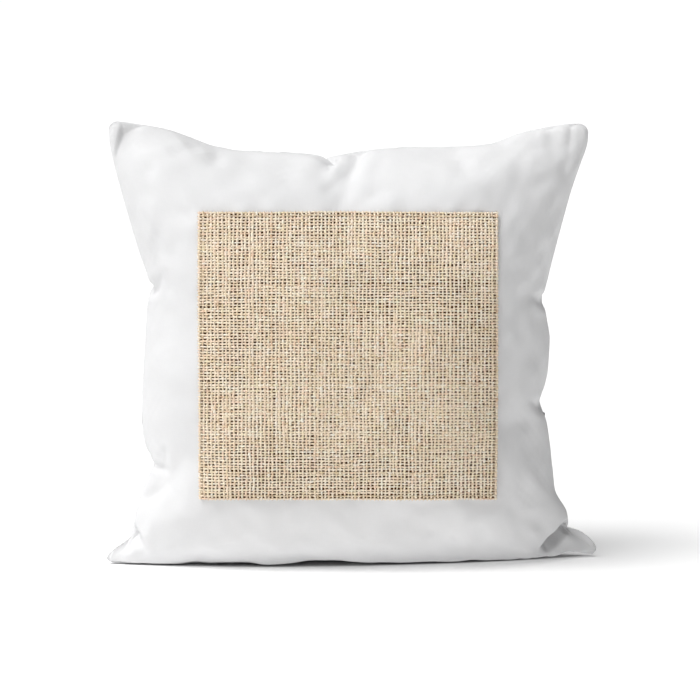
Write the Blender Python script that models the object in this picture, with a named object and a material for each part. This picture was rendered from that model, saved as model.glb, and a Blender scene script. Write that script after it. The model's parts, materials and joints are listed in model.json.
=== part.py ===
"""A ring bearer pillow: a white cover, a burlap patch sewn on its front, a zip across its back,
and a fibre-filled insert inside.

Metres, +Z up. The pillow stands on its lower edge with its front facing -Y. The origin is the
middle of its footprint, on the floor.
"""

import math

import bmesh
import bpy
from mathutils import Vector
from mathutils.bvhtree import BVHTree

# The outline of the filled cover, seen from the front.
MIDDLE_HALF_WIDTH = 0.104
CORNER_HALF_WIDTH = 0.123
SIDE_PULL = 2.2
MIDDLE_HEIGHT = 0.2065
CORNER_HEIGHT = 0.2235

# The section through it, front to back: an ellipse cut off flat where it rests on the floor.
FLOOR_CUT = -0.86
SIDE_POWER = 5
FRONT_DEPTH = 0.0510

# Fabrics and threads.
GAP = 0.0003
COVER_CLOTH = 0.0008
INSERT_CLOTH = 0.0007
PATCH_WIDTH = 0.147
PATCH_HEIGHT = 0.141
PATCH_X = -0.001
PATCH_Z = 0.109
PATCH_LIFT = 0.0010
BACKING_CLOTH = 0.0003
PATCH_GAP = 0.00035
BURLAP_CLOTH = 0.0010
PATCH_HEM = 0.004
PATCH_THREAD = 0.0003
PATCH_THREAD_GAP = 0.0005
SEAM_THREAD = 0.0005
BACK_DEPTH = 0.0550

# Each layer of the cushion: its inset from the outline, its inset from the faces, and the height
# of its base.
COVER_OUTSIDE = (0.0, 0.0, 0.0)
COVER_INSIDE = (COVER_CLOTH, COVER_CLOTH, COVER_CLOTH)
COVER_SEAM = (0.0030, 0.0, 0.0022)
INSERT_OUTSIDE = (0.0060, 0.0045, 0.0040)
INSERT_INSIDE = tuple(inset + INSERT_CLOTH for inset in INSERT_OUTSIDE)
INSERT_SEAM = (0.0090, 0.0, 0.0064)
FILLING_OUTSIDE = (0.0120, 0.0064, 0.0082)

# The zip: a straight flat stretch across the back.
ZIP_Z = 0.072
ZIP_PLANE = 0.0470
ZIP_FLAT = 0.016
ZIP_FADE = 0.050
ZIP_FLAT_X = 0.083
ZIP_FADE_X = 0.098
WINDOW_HALF_HEIGHT = 0.00475
WINDOW_HALF_LENGTH = 0.077
WINDOW_END = 0.079
SEAM_HALF_GAP = GAP / 2
TAPE_HALF_LENGTH = 0.078
TAPE_WIDTH = 0.012
TAPE_CLOTH = 0.0005
GROOVE_HALF = 0.00055
COIL_WIDTH = 0.0022
COIL_THICK = 0.0014
COIL_START = -0.0720
COIL_END = 0.0730
STOP_LENGTH = 0.0025
STITCH_OFFSET = 0.0016
STITCH_THREAD = 0.00025
TACK_X = 0.0805
TACK_LENGTH = 0.0020
TACK_THICK = 0.0005

# The slider and its pull tab, at rest at the closed end of the zip.
SLIDER_X = 0.0682
SLIDER_HALF_LENGTH = 0.0045
SLIDER_HALF_WIDTH = 0.0036
SLIDER_TAIL_HALF_WIDTH = 0.0033
LIP_INNER = COIL_WIDTH + GROOVE_HALF + GAP
POST_HALF = 0.00025
TOP_PLATE = 0.0008
BOTTOM_PLATE = 0.0006
CROWN_HALF_WIDTH = 0.0008
CROWN_HALF_SPAN = 0.0025
CROWN_LEG = 0.0008
CROWN_CLEAR = 0.0016
CROWN_BAR = 0.0007
TAB_THICK = 0.0010
TAB_HALF_WIDTH = 0.0024
TAB_LENGTH = 0.0200
TAB_BAR = 0.0005
TAB_EYE_LENGTH = 0.0042
TAB_EYE_HALF_WIDTH = 0.0013
TAB_BEVEL = 0.0002

FRONT = -1
BACK = 1
DEPTHS = {FRONT: FRONT_DEPTH, BACK: BACK_DEPTH}

# Heights above the tape's outer face, for the pieces of the zip.
COIL_LOW = GAP
COIL_HIGH = GAP + COIL_THICK
PLATE_LOW = COIL_HIGH + GAP
PLATE_HIGH = PLATE_LOW + TOP_PLATE
LOWER_PLATE_HIGH = -TAPE_CLOTH - GAP
LOWER_PLATE_LOW = LOWER_PLATE_HIGH - BOTTOM_PLATE
CROWN_LOW = PLATE_HIGH + CROWN_CLEAR
CROWN_HIGH = CROWN_LOW + CROWN_BAR
HINGE_HEIGHT = PLATE_HIGH + CROWN_CLEAR / 2


def clear_scene():
    for thing in list(bpy.data.objects):
        bpy.data.objects.remove(thing, do_unlink=True)


def material(name, colour, roughness, metallic=0.0):
    made = bpy.data.materials.new(name)
    made.use_nodes = True
    shader = made.node_tree.nodes["Principled BSDF"]
    shader.inputs["Base Color"].default_value = (*colour, 1.0)
    shader.inputs["Roughness"].default_value = roughness
    shader.inputs["Metallic"].default_value = metallic
    return made


def node(name, data, finish, parent, location=(0, 0, 0)):
    """One piece of the object, in its own named node."""
    made = bpy.data.objects.new(name, data)
    bpy.context.scene.collection.objects.link(made)
    made.data.materials.append(finish)
    made.parent = parent
    made.location = location
    return made


def empty(name, location):
    made = bpy.data.objects.new(name, None)
    bpy.context.scene.collection.objects.link(made)
    made.location = location
    return made


# The shape of the filled cushion.


def half_width(rise):
    """The outline's half width at a share of the height: narrow halfway up, wide at the corners."""
    reach = abs(2 * rise - 1) ** SIDE_PULL
    return MIDDLE_HALF_WIDTH + (CORNER_HALF_WIDTH - MIDDLE_HALF_WIDTH) * reach


def height(u):
    """The outline's height at a share of the half width."""
    return MIDDLE_HEIGHT + (CORNER_HEIGHT - MIDDLE_HEIGHT) * u * u


def swell(rise):
    """The share of the full depth that the section has at a share of the height."""
    v = FLOOR_CUT + (1 - FLOOR_CUT) * rise
    return math.sqrt(max(0.0, 1 - v * v))


def fade(distance, full, none):
    """1 up to full, falling smoothly to 0 at none."""
    t = min(1.0, max(0.0, (none - distance) / (none - full)))
    return t * t * (3 - 2 * t)


def zip_flatness(x, z):
    return fade(abs(z - ZIP_Z), ZIP_FLAT, ZIP_FADE) * fade(abs(x), ZIP_FLAT_X, ZIP_FADE_X)


def cushion_point(u, share, rise, side, layer, seam=SEAM_HALF_GAP):
    """A point of one layer: u across, rise up the height, share of the full depth."""
    edge, face, base = layer
    x = u * half_width(rise)
    z = rise * height(u)
    y = DEPTHS[side] * share * math.sqrt(1 - abs(u) ** SIDE_POWER)
    if side == BACK:
        y += zip_flatness(x, z) * (ZIP_PLANE - y)
    return Vector(
        (
            x * (1 - edge / CORNER_HALF_WIDTH),
            side * (y * (1 - face / DEPTHS[side]) + seam),
            base + z * (1 - (base + edge) / CORNER_HEIGHT),
        )
    )


# Grids of shares and rises. Each row runs across the cushion, and the rows climb it.

COLUMN_STEPS = 6
ROW_STEPS = 10
UPPER_ROW_STEPS = 6


def mirrored(shares):
    return [-share for share in reversed(shares)] + [0.0] + list(shares)


def plain_columns():
    return mirrored([math.sin(math.pi / 2 * k / COLUMN_STEPS) for k in range(1, COLUMN_STEPS + 1)])


def back_columns():
    """The plain columns, with those near the zip's ends moved to its window's corners."""
    at_zip = half_width(ZIP_Z / MIDDLE_HEIGHT)
    zip_ends = [x / at_zip for x in (WINDOW_HALF_LENGTH, WINDOW_END, ZIP_FLAT_X)]
    sines = [math.sin(math.pi / 2 * k / COLUMN_STEPS) for k in (1, 2, 4, 5, 6)]
    return mirrored(sines[:2] + zip_ends + sines[2:])


def rises_between(low, high, steps):
    """Rises spaced by equal angles of the ellipse, so that they crowd towards the top edge."""
    first = math.asin(FLOOR_CUT + (1 - FLOOR_CUT) * low)
    last = math.asin(FLOOR_CUT + (1 - FLOOR_CUT) * high)
    angles = [first + (last - first) * k / steps for k in range(steps + 1)]
    return [(math.sin(angle) - FLOOR_CUT) / (1 - FLOOR_CUT) for angle in angles]


def whole_rises(_u):
    return rises_between(0.0, 1.0, ROW_STEPS)


def window_edge(u):
    """How far the back panels' facing edges stand from the zip's middle line."""
    x = abs(u) * half_width(ZIP_Z / MIDDLE_HEIGHT)
    along = (x - WINDOW_HALF_LENGTH) / (WINDOW_END - WINDOW_HALF_LENGTH)
    closed = min(1.0, max(0.0, along))
    return WINDOW_HALF_HEIGHT + (SEAM_HALF_GAP - WINDOW_HALF_HEIGHT) * closed


def lower_rises(u):
    levels = [0.0, (ZIP_Z - ZIP_FADE) / 2, ZIP_Z - ZIP_FADE, ZIP_Z - (ZIP_FLAT + ZIP_FADE) / 2]
    levels += [ZIP_Z - ZIP_FLAT, ZIP_Z - window_edge(u)]
    return [level / height(u) for level in levels]


def upper_rises(u):
    levels = [ZIP_Z + window_edge(u), ZIP_Z + ZIP_FLAT, ZIP_Z + (ZIP_FLAT + ZIP_FADE) / 2]
    rises = [level / height(u) for level in levels]
    return rises + rises_between((ZIP_Z + ZIP_FADE) / height(u), 1.0, UPPER_ROW_STEPS)


def grid(mesh, columns, rises, foot, side, layer, seam=SEAM_HALF_GAP):
    """Lays one layer's vertices. A foot row runs along the seam under the flat base."""
    rows = [[(u, swell(rise), rise) for rise in rises(u)] for u in columns]
    rows = [list(row) for row in zip(*rows)]
    if foot:
        rows.insert(0, [(u, 0.0, 0.0) for u in columns])
    return [
        [mesh.verts.new(cushion_point(u, share, rise, side, layer, seam)) for u, share, rise in row]
        for row in rows
    ]


def skin(mesh, rows):
    """Covers a grid with triangles, split along the lines that run out to the nearest corner."""
    for low, high in zip(rows, rows[1:]):
        for k in range(len(low) - 1):
            cell = [low[k], low[k + 1], high[k + 1], high[k]]
            middle = sum((corner.co for corner in cell), Vector()) / 4
            if middle.x * (middle.z - MIDDLE_HEIGHT / 2) < 0:
                cell = cell[1:] + cell[:1]
            mesh.faces.new(cell[:3])
            mesh.faces.new((cell[0], cell[2], cell[3]))


def rim(rows):
    """The vertices round the edge of a grid, in order."""
    right = [row[-1] for row in rows[1:-1]]
    left = [row[0] for row in rows[1:-1]]
    return rows[0] + right + rows[-1][::-1] + left[::-1]


def closed(mesh, name):
    """Turns the finished faces outwards and stores them as a mesh."""
    bmesh.ops.remove_doubles(mesh, verts=mesh.verts, dist=1e-7)
    bmesh.ops.recalc_face_normals(mesh, faces=mesh.faces)
    if mesh.calc_volume(signed=True) < 0:
        bmesh.ops.reverse_faces(mesh, faces=mesh.faces)
    stored = bpy.data.meshes.new(name)
    mesh.to_mesh(stored)
    mesh.free()
    stored.shade_smooth()
    stored.set_sharp_from_angle(angle=math.radians(40))
    return stored


def cloth_panel(name, columns, rises, foot, side, outside, inside):
    """A panel of cloth between two layers, closed round its edge."""
    mesh = bmesh.new()
    outer = grid(mesh, columns, rises, foot, side, outside)
    inner = grid(mesh, columns, rises, foot, side, inside)
    skin(mesh, outer)
    skin(mesh, inner)
    edge, lining = rim(outer), rim(inner)
    for k in range(len(edge)):
        mesh.faces.new((edge[k - 1], edge[k], lining[k], lining[k - 1]))
    return closed(mesh, name)


def filling_mesh(name):
    mesh = bmesh.new()
    for side in (FRONT, BACK):
        skin(mesh, grid(mesh, plain_columns(), whole_rises, True, side, FILLING_OUTSIDE, 0.0))
    return closed(mesh, name)


# The patch lies on the front panel.


def spaced(low, high, steps):
    return [low + (high - low) * k / steps for k in range(steps + 1)]


def surface_of(piece):
    mesh = bmesh.new()
    mesh.from_mesh(piece.data)
    tree = BVHTree.FromBMesh(mesh)
    mesh.free()
    return tree


def front_of(tree, x, z):
    """Where a surface is met from the front."""
    return tree.ray_cast(Vector((x, -1.0, z)), Vector((0.0, 1.0, 0.0)))[0].y


def draped_sheet(name, tree, near, thickness):
    """A rectangle of cloth laid on a surface, near above it."""
    steps = 12
    across = spaced(PATCH_X - PATCH_WIDTH / 2, PATCH_X + PATCH_WIDTH / 2, steps)
    up = spaced(PATCH_Z - PATCH_HEIGHT / 2, PATCH_Z + PATCH_HEIGHT / 2, steps)
    mesh = bmesh.new()
    layers = []
    for lift in (near, near + thickness):
        rows = [[mesh.verts.new((x, front_of(tree, x, z) - lift, z)) for x in across] for z in up]
        skin(mesh, rows)
        layers.append(rim(rows))
    under, over = layers
    for k in range(len(under)):
        mesh.faces.new((under[k - 1], under[k], over[k], over[k - 1]))
    return closed(mesh, name)


def patch_stitch_line(tree):
    """The stitching's path: a rectangle inside the patch's edge, with its corners cut short."""
    half_x = PATCH_WIDTH / 2 - PATCH_HEM
    half_z = PATCH_HEIGHT / 2 - PATCH_HEM
    corner = 0.0015
    steps = 13
    along_x = spaced(corner - half_x, half_x - corner, steps)
    along_z = spaced(corner - half_z, half_z - corner, steps)
    loop = [(x, -half_z) for x in along_x] + [(half_x, z) for z in along_z]
    loop += [(-x, half_z) for x in along_x] + [(-half_x, -z) for z in along_z]
    lift = PATCH_THREAD_GAP + PATCH_THREAD
    placed = [(PATCH_X + x, PATCH_Z + z) for x, z in loop]
    return [Vector((x, front_of(tree, x, z) - lift, z)) for x, z in placed]


def thread(name, points, radius, cyclic):
    """A run of sewing thread, as a round tube along its points."""
    curve = bpy.data.curves.new(name, "CURVE")
    curve.dimensions = "3D"
    curve.bevel_depth = radius
    curve.bevel_resolution = 1
    curve.use_fill_caps = True
    spline = curve.splines.new("POLY")
    spline.points.add(len(points) - 1)
    for stored, point in zip(spline.points, points):
        stored.co = (*point, 1.0)
    spline.use_cyclic_u = cyclic
    return curve


def seam_line(layer):
    """A loop at a layer's outline, in the plane between the front and the back."""
    columns = plain_columns()
    rises = whole_rises(0)[1:-1]
    shares = [(u, 0.0) for u in columns] + [(1.0, rise) for rise in rises]
    shares += [(-u, 1.0) for u in columns] + [(-1.0, rise) for rise in reversed(rises)]
    return [cushion_point(u, 0.0, rise, FRONT, layer, 0.0) for u, rise in shares]


# The zip's pieces are prisms, made round the middle line of the zip on the tape's outer face:
# x along it, y outwards and z up.


def loft(name, loops):
    """A solid through loops of equal length, closed at its first and last."""
    mesh = bmesh.new()
    rings = [[mesh.verts.new(point) for point in loop] for loop in loops]
    for first, second in zip(rings, rings[1:]):
        for k in range(len(first)):
            mesh.faces.new((first[k - 1], first[k], second[k], second[k - 1]))
    mesh.faces.new(rings[0])
    mesh.faces.new(rings[-1])
    return closed(mesh, name)


def bar(name, length, low, high, bottom, top, chamfer=0.0):
    """A straight bar along x, centred on it, from low to high outwards and bottom to top up."""
    cut = chamfer
    section = [(low + cut, bottom), (high - cut, bottom), (high, bottom + cut), (high, top - cut)]
    section += [(high - cut, top), (low + cut, top), (low, top - cut), (low, bottom + cut)]
    return loft(name, [[(x, y, z) for y, z in section] for x in (-length / 2, length / 2)])


def slider_section(half_width_here):
    """The slider's section: a plate with lips, a thin post, and a plate behind the tapes."""
    lip = LIP_INNER
    half = half_width_here
    right = [(LOWER_PLATE_LOW, half), (LOWER_PLATE_HIGH, half), (LOWER_PLATE_HIGH, POST_HALF)]
    right += [(PLATE_LOW, POST_HALF), (PLATE_LOW, lip), (COIL_LOW, lip), (COIL_LOW, half)]
    right += [(PLATE_HIGH, half)]
    return right + [(y, -z) for y, z in reversed(right)]


def slider_mesh(name):
    tail = slider_section(SLIDER_TAIL_HALF_WIDTH)
    body = slider_section(SLIDER_HALF_WIDTH)
    stations = [(-SLIDER_HALF_LENGTH, tail), (0.0, body), (SLIDER_HALF_LENGTH, body)]
    return loft(name, [[(x, y, z) for y, z in section] for x, section in stations])


def crown_mesh(name):
    """The arch on the slider that the pull tab hangs from, its feet sunk into the plate."""
    foot = PLATE_HIGH - TOP_PLATE / 2
    inner = CROWN_HALF_SPAN
    outer = inner + CROWN_LEG
    cut = CROWN_BAR / 2
    profile = [(-outer, foot), (-inner, foot), (-inner, CROWN_LOW), (inner, CROWN_LOW)]
    profile += [(inner, foot), (outer, foot), (outer, CROWN_HIGH - cut), (outer - cut, CROWN_HIGH)]
    profile += [(cut - outer, CROWN_HIGH), (-outer, CROWN_HIGH - cut)]
    half = CROWN_HALF_WIDTH
    return loft(name, [[(x, y, z) for x, y in profile] for z in (-half, half)])


def arc(centre_x, centre_y, radius, start, end, steps):
    angles = [math.radians(start + (end - start) * k / steps) for k in range(steps + 1)]
    return [(centre_x + radius * math.cos(a), centre_y + radius * math.sin(a)) for a in angles]


def tab_curve(name):
    """The pull tab: a flat grip with a rounded end, and an eye round the crown's bar."""
    curve = bpy.data.curves.new(name, "CURVE")
    curve.dimensions = "2D"
    curve.fill_mode = "BOTH"
    curve.bevel_depth = TAB_BEVEL
    curve.bevel_resolution = 0
    curve.extrude = TAB_THICK / 2 - TAB_BEVEL
    grip, end = TAB_HALF_WIDTH - TAB_BEVEL, TAB_BAR - TAB_BEVEL
    corner = 0.0008
    outline = arc(end - corner, grip - corner, corner, 0, 90, 3)
    outline += arc(grip - TAB_LENGTH + TAB_BEVEL, 0.0, grip, 90, 270, 8)
    outline += arc(end - corner, corner - grip, corner, 270, 360, 3)
    eye_near, eye_far = TAB_BEVEL - TAB_BAR, -TAB_BAR - TAB_EYE_LENGTH - TAB_BEVEL
    eye_side = TAB_EYE_HALF_WIDTH + TAB_BEVEL
    eye = [(eye_near, eye_side), (eye_near, -eye_side), (eye_far, -eye_side), (eye_far, eye_side)]
    for points in (outline, eye):
        spline = curve.splines.new("POLY")
        spline.points.add(len(points) - 1)
        for stored, (x, y) in zip(spline.points, points):
            stored.co = (x, y, 0.0, 1.0)
        spline.use_cyclic_u = True
    return curve


def add_cover(root, cloth, thread_finish):
    across, back = plain_columns(), back_columns()
    front = cloth_panel(
        "cover_front_panel", across, whole_rises, True, FRONT, COVER_OUTSIDE, COVER_INSIDE
    )
    lower = cloth_panel(
        "cover_back_lower_panel", back, lower_rises, True, BACK, COVER_OUTSIDE, COVER_INSIDE
    )
    upper = cloth_panel(
        "cover_back_upper_panel", back, upper_rises, False, BACK, COVER_OUTSIDE, COVER_INSIDE
    )
    for mesh in (lower, upper):
        node(mesh.name, mesh, cloth, root)
    seam = thread("cover_seam_thread", seam_line(COVER_SEAM), SEAM_THREAD, True)
    node(seam.name, seam, thread_finish, root)
    return node(front.name, front, cloth, root)


def add_patch(root, front_panel, burlap, backing, thread_finish):
    panel = surface_of(front_panel)
    under = draped_sheet("burlap_backing", panel, PATCH_LIFT, BACKING_CLOTH)
    over_lift = PATCH_LIFT + BACKING_CLOTH + PATCH_GAP
    over = draped_sheet("burlap_patch", panel, over_lift, BURLAP_CLOTH)
    node(under.name, under, backing, root)
    patch = node(over.name, over, burlap, root)
    line = patch_stitch_line(surface_of(patch))
    stitching = thread("patch_stitching", line, PATCH_THREAD, True)
    node(stitching.name, stitching, thread_finish, root)


def add_insert(root, cloth, thread_finish, fibre):
    for name, side in (("insert_front_shell", FRONT), ("insert_back_shell", BACK)):
        mesh = cloth_panel(
            name, plain_columns(), whole_rises, True, side, INSERT_OUTSIDE, INSERT_INSIDE
        )
        node(name, mesh, cloth, root)
    seam = thread("insert_seam_thread", seam_line(INSERT_SEAM), SEAM_THREAD, True)
    node(seam.name, seam, thread_finish, root)
    node("fibre_filling", filling_mesh("fibre_filling"), fibre, root)


def add_zip_tapes(line, tape, coil, metal):
    """The two tapes with their coils and stops, mirrored about the zip's middle line."""
    coil_length = COIL_END - COIL_START
    coil_x = (COIL_END + COIL_START) / 2
    stop_x = COIL_END + GAP + STOP_LENGTH / 2
    coil_edge = GROOVE_HALF + COIL_WIDTH
    tape_edge = GROOVE_HALF + TAPE_WIDTH
    for place, sign in (("upper", 1), ("lower", -1)):
        near = sign * GROOVE_HALF
        parts = (
            ("zip_tape_", 2 * TAPE_HALF_LENGTH, 0.0, -TAPE_CLOTH, 0.0, tape_edge, 0.0, tape),
            ("zip_coil_", coil_length, coil_x, COIL_LOW, COIL_HIGH, coil_edge, 0.0004, coil),
            ("zip_top_stop_", STOP_LENGTH, stop_x, COIL_LOW, COIL_HIGH, coil_edge, 0.0003, metal),
        )
        for stem, length, x, low, high, edge, chamfer, finish in parts:
            bottom, top = sorted((near, sign * edge))
            mesh = bar(stem + place, length, low, high, bottom, top, chamfer)
            node(mesh.name, mesh, finish, line, (x, 0.0, 0.0))


def add_bottom_stop(line, metal):
    mesh = bar(
        "zip_bottom_stop", STOP_LENGTH, COIL_LOW, COIL_HIGH,
        -GROOVE_HALF - COIL_WIDTH, GROOVE_HALF + COIL_WIDTH, 0.0003,
    )
    node(mesh.name, mesh, metal, line, (COIL_START - GAP - STOP_LENGTH / 2, 0.0, 0.0))


def add_zip_sewing(line, thread_finish):
    """The thread along the window's edges, and a bar tack across each of its ends."""
    cloth_face = GAP + ZIP_PLANE * COVER_CLOTH / BACK_DEPTH
    height_out = cloth_face + GAP + STITCH_THREAD
    reach = WINDOW_HALF_HEIGHT + STITCH_OFFSET
    for place, sign in (("upper", 1), ("lower", -1)):
        ends = [(x, height_out, sign * reach) for x in (-WINDOW_HALF_LENGTH, WINDOW_HALF_LENGTH)]
        curve = thread("zip_stitching_" + place, ends, STITCH_THREAD, False)
        node(curve.name, curve, thread_finish, line)
    low = cloth_face + GAP
    for place, x in (("left", -TACK_X), ("right", TACK_X)):
        mesh = bar("zip_bar_tack_" + place, TACK_LENGTH, low, low + TACK_THICK, -reach, reach, 0.0002)
        node(mesh.name, mesh, thread_finish, line, (x, 0.0, 0.0))


def add_slider(line, metal):
    """The slider, and the pull tab that swings on its crown."""
    slider = node("zip_slider", slider_mesh("zip_slider"), metal, line, (SLIDER_X, 0.0, 0.0))
    crown = node("crown_shape", crown_mesh("crown_shape"), metal, slider)
    crown.hide_render = True
    crown.display_type = "WIRE"
    union = slider.modifiers.new("crown", "BOOLEAN")
    union.operation = "UNION"
    union.solver = "EXACT"
    union.object = crown
    tab = node("zip_pull_tab", tab_curve("zip_pull_tab"), metal, slider, (0.0, HINGE_HEIGHT, 0.0))
    tab.rotation_euler.x = math.radians(90)


def build():
    clear_scene()
    white = material("white_cloth", (0.86, 0.86, 0.87), 0.9)
    white_thread = material("white_thread", (0.84, 0.84, 0.85), 0.8)
    burlap = material("burlap", (0.66, 0.52, 0.36), 0.95)
    brown = material("brown_backing", (0.20, 0.12, 0.07), 0.95)
    jute_thread = material("jute_thread", (0.68, 0.55, 0.40), 0.9)
    insert_cloth = material("insert_cloth", (0.80, 0.80, 0.79), 0.95)
    fibre = material("polyester_fibre", (0.88, 0.88, 0.88), 1.0)
    tape = material("zip_tape", (0.82, 0.82, 0.83), 0.85)
    coil = material("zip_coil", (0.80, 0.80, 0.81), 0.45)
    metal = material("zip_metal", (0.62, 0.62, 0.63), 0.3, 1.0)

    root = empty("pillow", (0.0, 0.0, 0.0))
    front_panel = add_cover(root, white, white_thread)
    add_patch(root, front_panel, burlap, brown, jute_thread)
    add_insert(root, insert_cloth, white_thread, fibre)

    panel_inside = SEAM_HALF_GAP + ZIP_PLANE * (1 - COVER_CLOTH / BACK_DEPTH)
    line = empty("zip_line", (0.0, panel_inside - GAP, ZIP_Z))
    line.parent = root
    add_zip_tapes(line, tape, coil, metal)
    add_bottom_stop(line, metal)
    add_zip_sewing(line, white_thread)
    add_slider(line, metal)


build()
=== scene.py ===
"""The looks of the ring bearer pillow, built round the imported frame.

Metres, +Z up. The pillow stands on the floor with its front facing -Y.
"""

import json
import math

import bmesh
import bpy
import numpy as np
from mathutils import Vector
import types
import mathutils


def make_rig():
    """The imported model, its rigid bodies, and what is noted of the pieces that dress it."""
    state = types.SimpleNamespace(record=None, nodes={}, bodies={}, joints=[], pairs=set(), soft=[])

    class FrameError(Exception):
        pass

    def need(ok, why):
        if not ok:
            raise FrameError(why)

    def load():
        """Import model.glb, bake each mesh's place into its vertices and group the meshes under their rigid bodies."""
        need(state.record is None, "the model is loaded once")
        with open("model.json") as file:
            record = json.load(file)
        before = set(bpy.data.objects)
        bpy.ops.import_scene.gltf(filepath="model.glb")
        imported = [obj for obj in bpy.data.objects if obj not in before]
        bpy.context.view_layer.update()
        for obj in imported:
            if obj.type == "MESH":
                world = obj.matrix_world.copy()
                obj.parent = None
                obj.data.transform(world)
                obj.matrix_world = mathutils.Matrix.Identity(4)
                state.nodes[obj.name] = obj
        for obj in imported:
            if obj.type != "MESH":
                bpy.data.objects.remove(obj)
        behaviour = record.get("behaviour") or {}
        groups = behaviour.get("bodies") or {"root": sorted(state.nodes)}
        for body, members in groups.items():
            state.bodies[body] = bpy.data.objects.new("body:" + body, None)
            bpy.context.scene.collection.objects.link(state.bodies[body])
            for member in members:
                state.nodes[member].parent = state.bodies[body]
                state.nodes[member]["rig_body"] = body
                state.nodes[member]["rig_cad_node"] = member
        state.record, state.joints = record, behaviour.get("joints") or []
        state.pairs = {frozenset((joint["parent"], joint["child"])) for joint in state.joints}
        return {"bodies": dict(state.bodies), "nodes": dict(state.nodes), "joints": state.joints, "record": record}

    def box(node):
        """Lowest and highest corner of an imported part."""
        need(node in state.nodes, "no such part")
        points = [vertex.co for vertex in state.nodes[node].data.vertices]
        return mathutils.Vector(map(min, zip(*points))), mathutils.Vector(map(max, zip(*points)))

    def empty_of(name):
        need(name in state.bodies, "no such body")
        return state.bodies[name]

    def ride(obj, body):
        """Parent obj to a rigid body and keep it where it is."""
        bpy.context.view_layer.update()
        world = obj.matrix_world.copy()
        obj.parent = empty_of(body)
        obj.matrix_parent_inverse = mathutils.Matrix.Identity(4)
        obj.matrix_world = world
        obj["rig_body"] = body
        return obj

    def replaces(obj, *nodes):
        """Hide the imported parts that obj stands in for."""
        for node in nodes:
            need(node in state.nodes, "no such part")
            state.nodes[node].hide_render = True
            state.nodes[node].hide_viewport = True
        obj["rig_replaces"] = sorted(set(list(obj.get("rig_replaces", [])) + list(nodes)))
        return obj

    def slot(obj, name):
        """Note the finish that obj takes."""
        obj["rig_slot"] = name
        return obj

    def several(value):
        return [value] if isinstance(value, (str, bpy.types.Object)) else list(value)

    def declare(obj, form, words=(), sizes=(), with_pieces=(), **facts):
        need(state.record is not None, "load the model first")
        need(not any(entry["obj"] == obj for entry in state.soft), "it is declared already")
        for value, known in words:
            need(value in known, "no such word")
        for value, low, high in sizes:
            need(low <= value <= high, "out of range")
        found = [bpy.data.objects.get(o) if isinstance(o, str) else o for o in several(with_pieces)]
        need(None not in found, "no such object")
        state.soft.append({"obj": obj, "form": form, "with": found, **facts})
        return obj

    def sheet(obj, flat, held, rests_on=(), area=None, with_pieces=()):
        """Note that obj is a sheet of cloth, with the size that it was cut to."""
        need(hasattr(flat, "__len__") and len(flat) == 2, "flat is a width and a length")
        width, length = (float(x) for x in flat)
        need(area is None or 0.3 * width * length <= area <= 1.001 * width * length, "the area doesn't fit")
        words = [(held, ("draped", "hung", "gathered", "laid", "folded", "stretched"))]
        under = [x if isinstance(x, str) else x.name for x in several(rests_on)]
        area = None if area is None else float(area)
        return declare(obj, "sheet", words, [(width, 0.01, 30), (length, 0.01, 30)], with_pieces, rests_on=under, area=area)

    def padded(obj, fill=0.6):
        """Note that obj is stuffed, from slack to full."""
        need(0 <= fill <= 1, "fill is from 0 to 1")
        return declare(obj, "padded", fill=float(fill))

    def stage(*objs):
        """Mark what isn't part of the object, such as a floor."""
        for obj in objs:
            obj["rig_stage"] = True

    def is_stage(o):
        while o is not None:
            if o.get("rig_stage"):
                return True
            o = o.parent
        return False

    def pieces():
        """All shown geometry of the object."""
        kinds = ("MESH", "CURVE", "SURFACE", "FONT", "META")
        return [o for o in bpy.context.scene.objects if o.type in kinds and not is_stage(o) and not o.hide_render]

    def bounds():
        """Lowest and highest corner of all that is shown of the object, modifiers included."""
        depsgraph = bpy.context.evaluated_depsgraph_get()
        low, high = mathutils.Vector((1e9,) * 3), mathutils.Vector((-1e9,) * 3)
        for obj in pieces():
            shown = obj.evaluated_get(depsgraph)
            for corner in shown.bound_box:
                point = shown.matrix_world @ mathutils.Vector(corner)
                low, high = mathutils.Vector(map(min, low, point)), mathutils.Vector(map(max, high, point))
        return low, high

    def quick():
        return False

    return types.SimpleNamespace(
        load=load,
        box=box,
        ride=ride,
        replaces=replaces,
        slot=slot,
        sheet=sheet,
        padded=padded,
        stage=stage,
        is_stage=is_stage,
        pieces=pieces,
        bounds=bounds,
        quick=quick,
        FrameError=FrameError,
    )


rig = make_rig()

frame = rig.load()
CAD_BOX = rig.bounds()
MM = 0.001
SEED = 26

# ---------------------------------------------------------------------------------------------
# The cover's size and outline.

CELLS = 96
FINE_CELLS = 288
FLAT = 0.252
FRONT_DEPTH = 51.0 * MM
BACK_DEPTH = 53.0 * MM
FRONT_POWER = 2.5
BACK_POWER = 3.4
MIDDLE_HEIGHT = 207.5 * MM
MIDDLE_HALF_WIDTH = 102.0 * MM
FRONT_CUT = -0.90
FRONT_FOOT_RISE = 1.2 * MM
FOOT_HEIGHT = 32 * MM
FRONT_NARROWING = 0.8
BACK_NARROWING = 0.3
NARROWEST_POWER = 1.6
CLIMB_STEPS = 400
FOOT_STEPS = 40
ACROSS_STEPS = 801
FLOOR_CLEAR = 0.2 * MM
SEAM_REACH = 16.0 * MM
SOFT_PASSES = 80
EAR_SHARE = 0.035
CORNER_FLATNESS = 0.5
CORNER_REACH = 42 * MM

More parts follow.
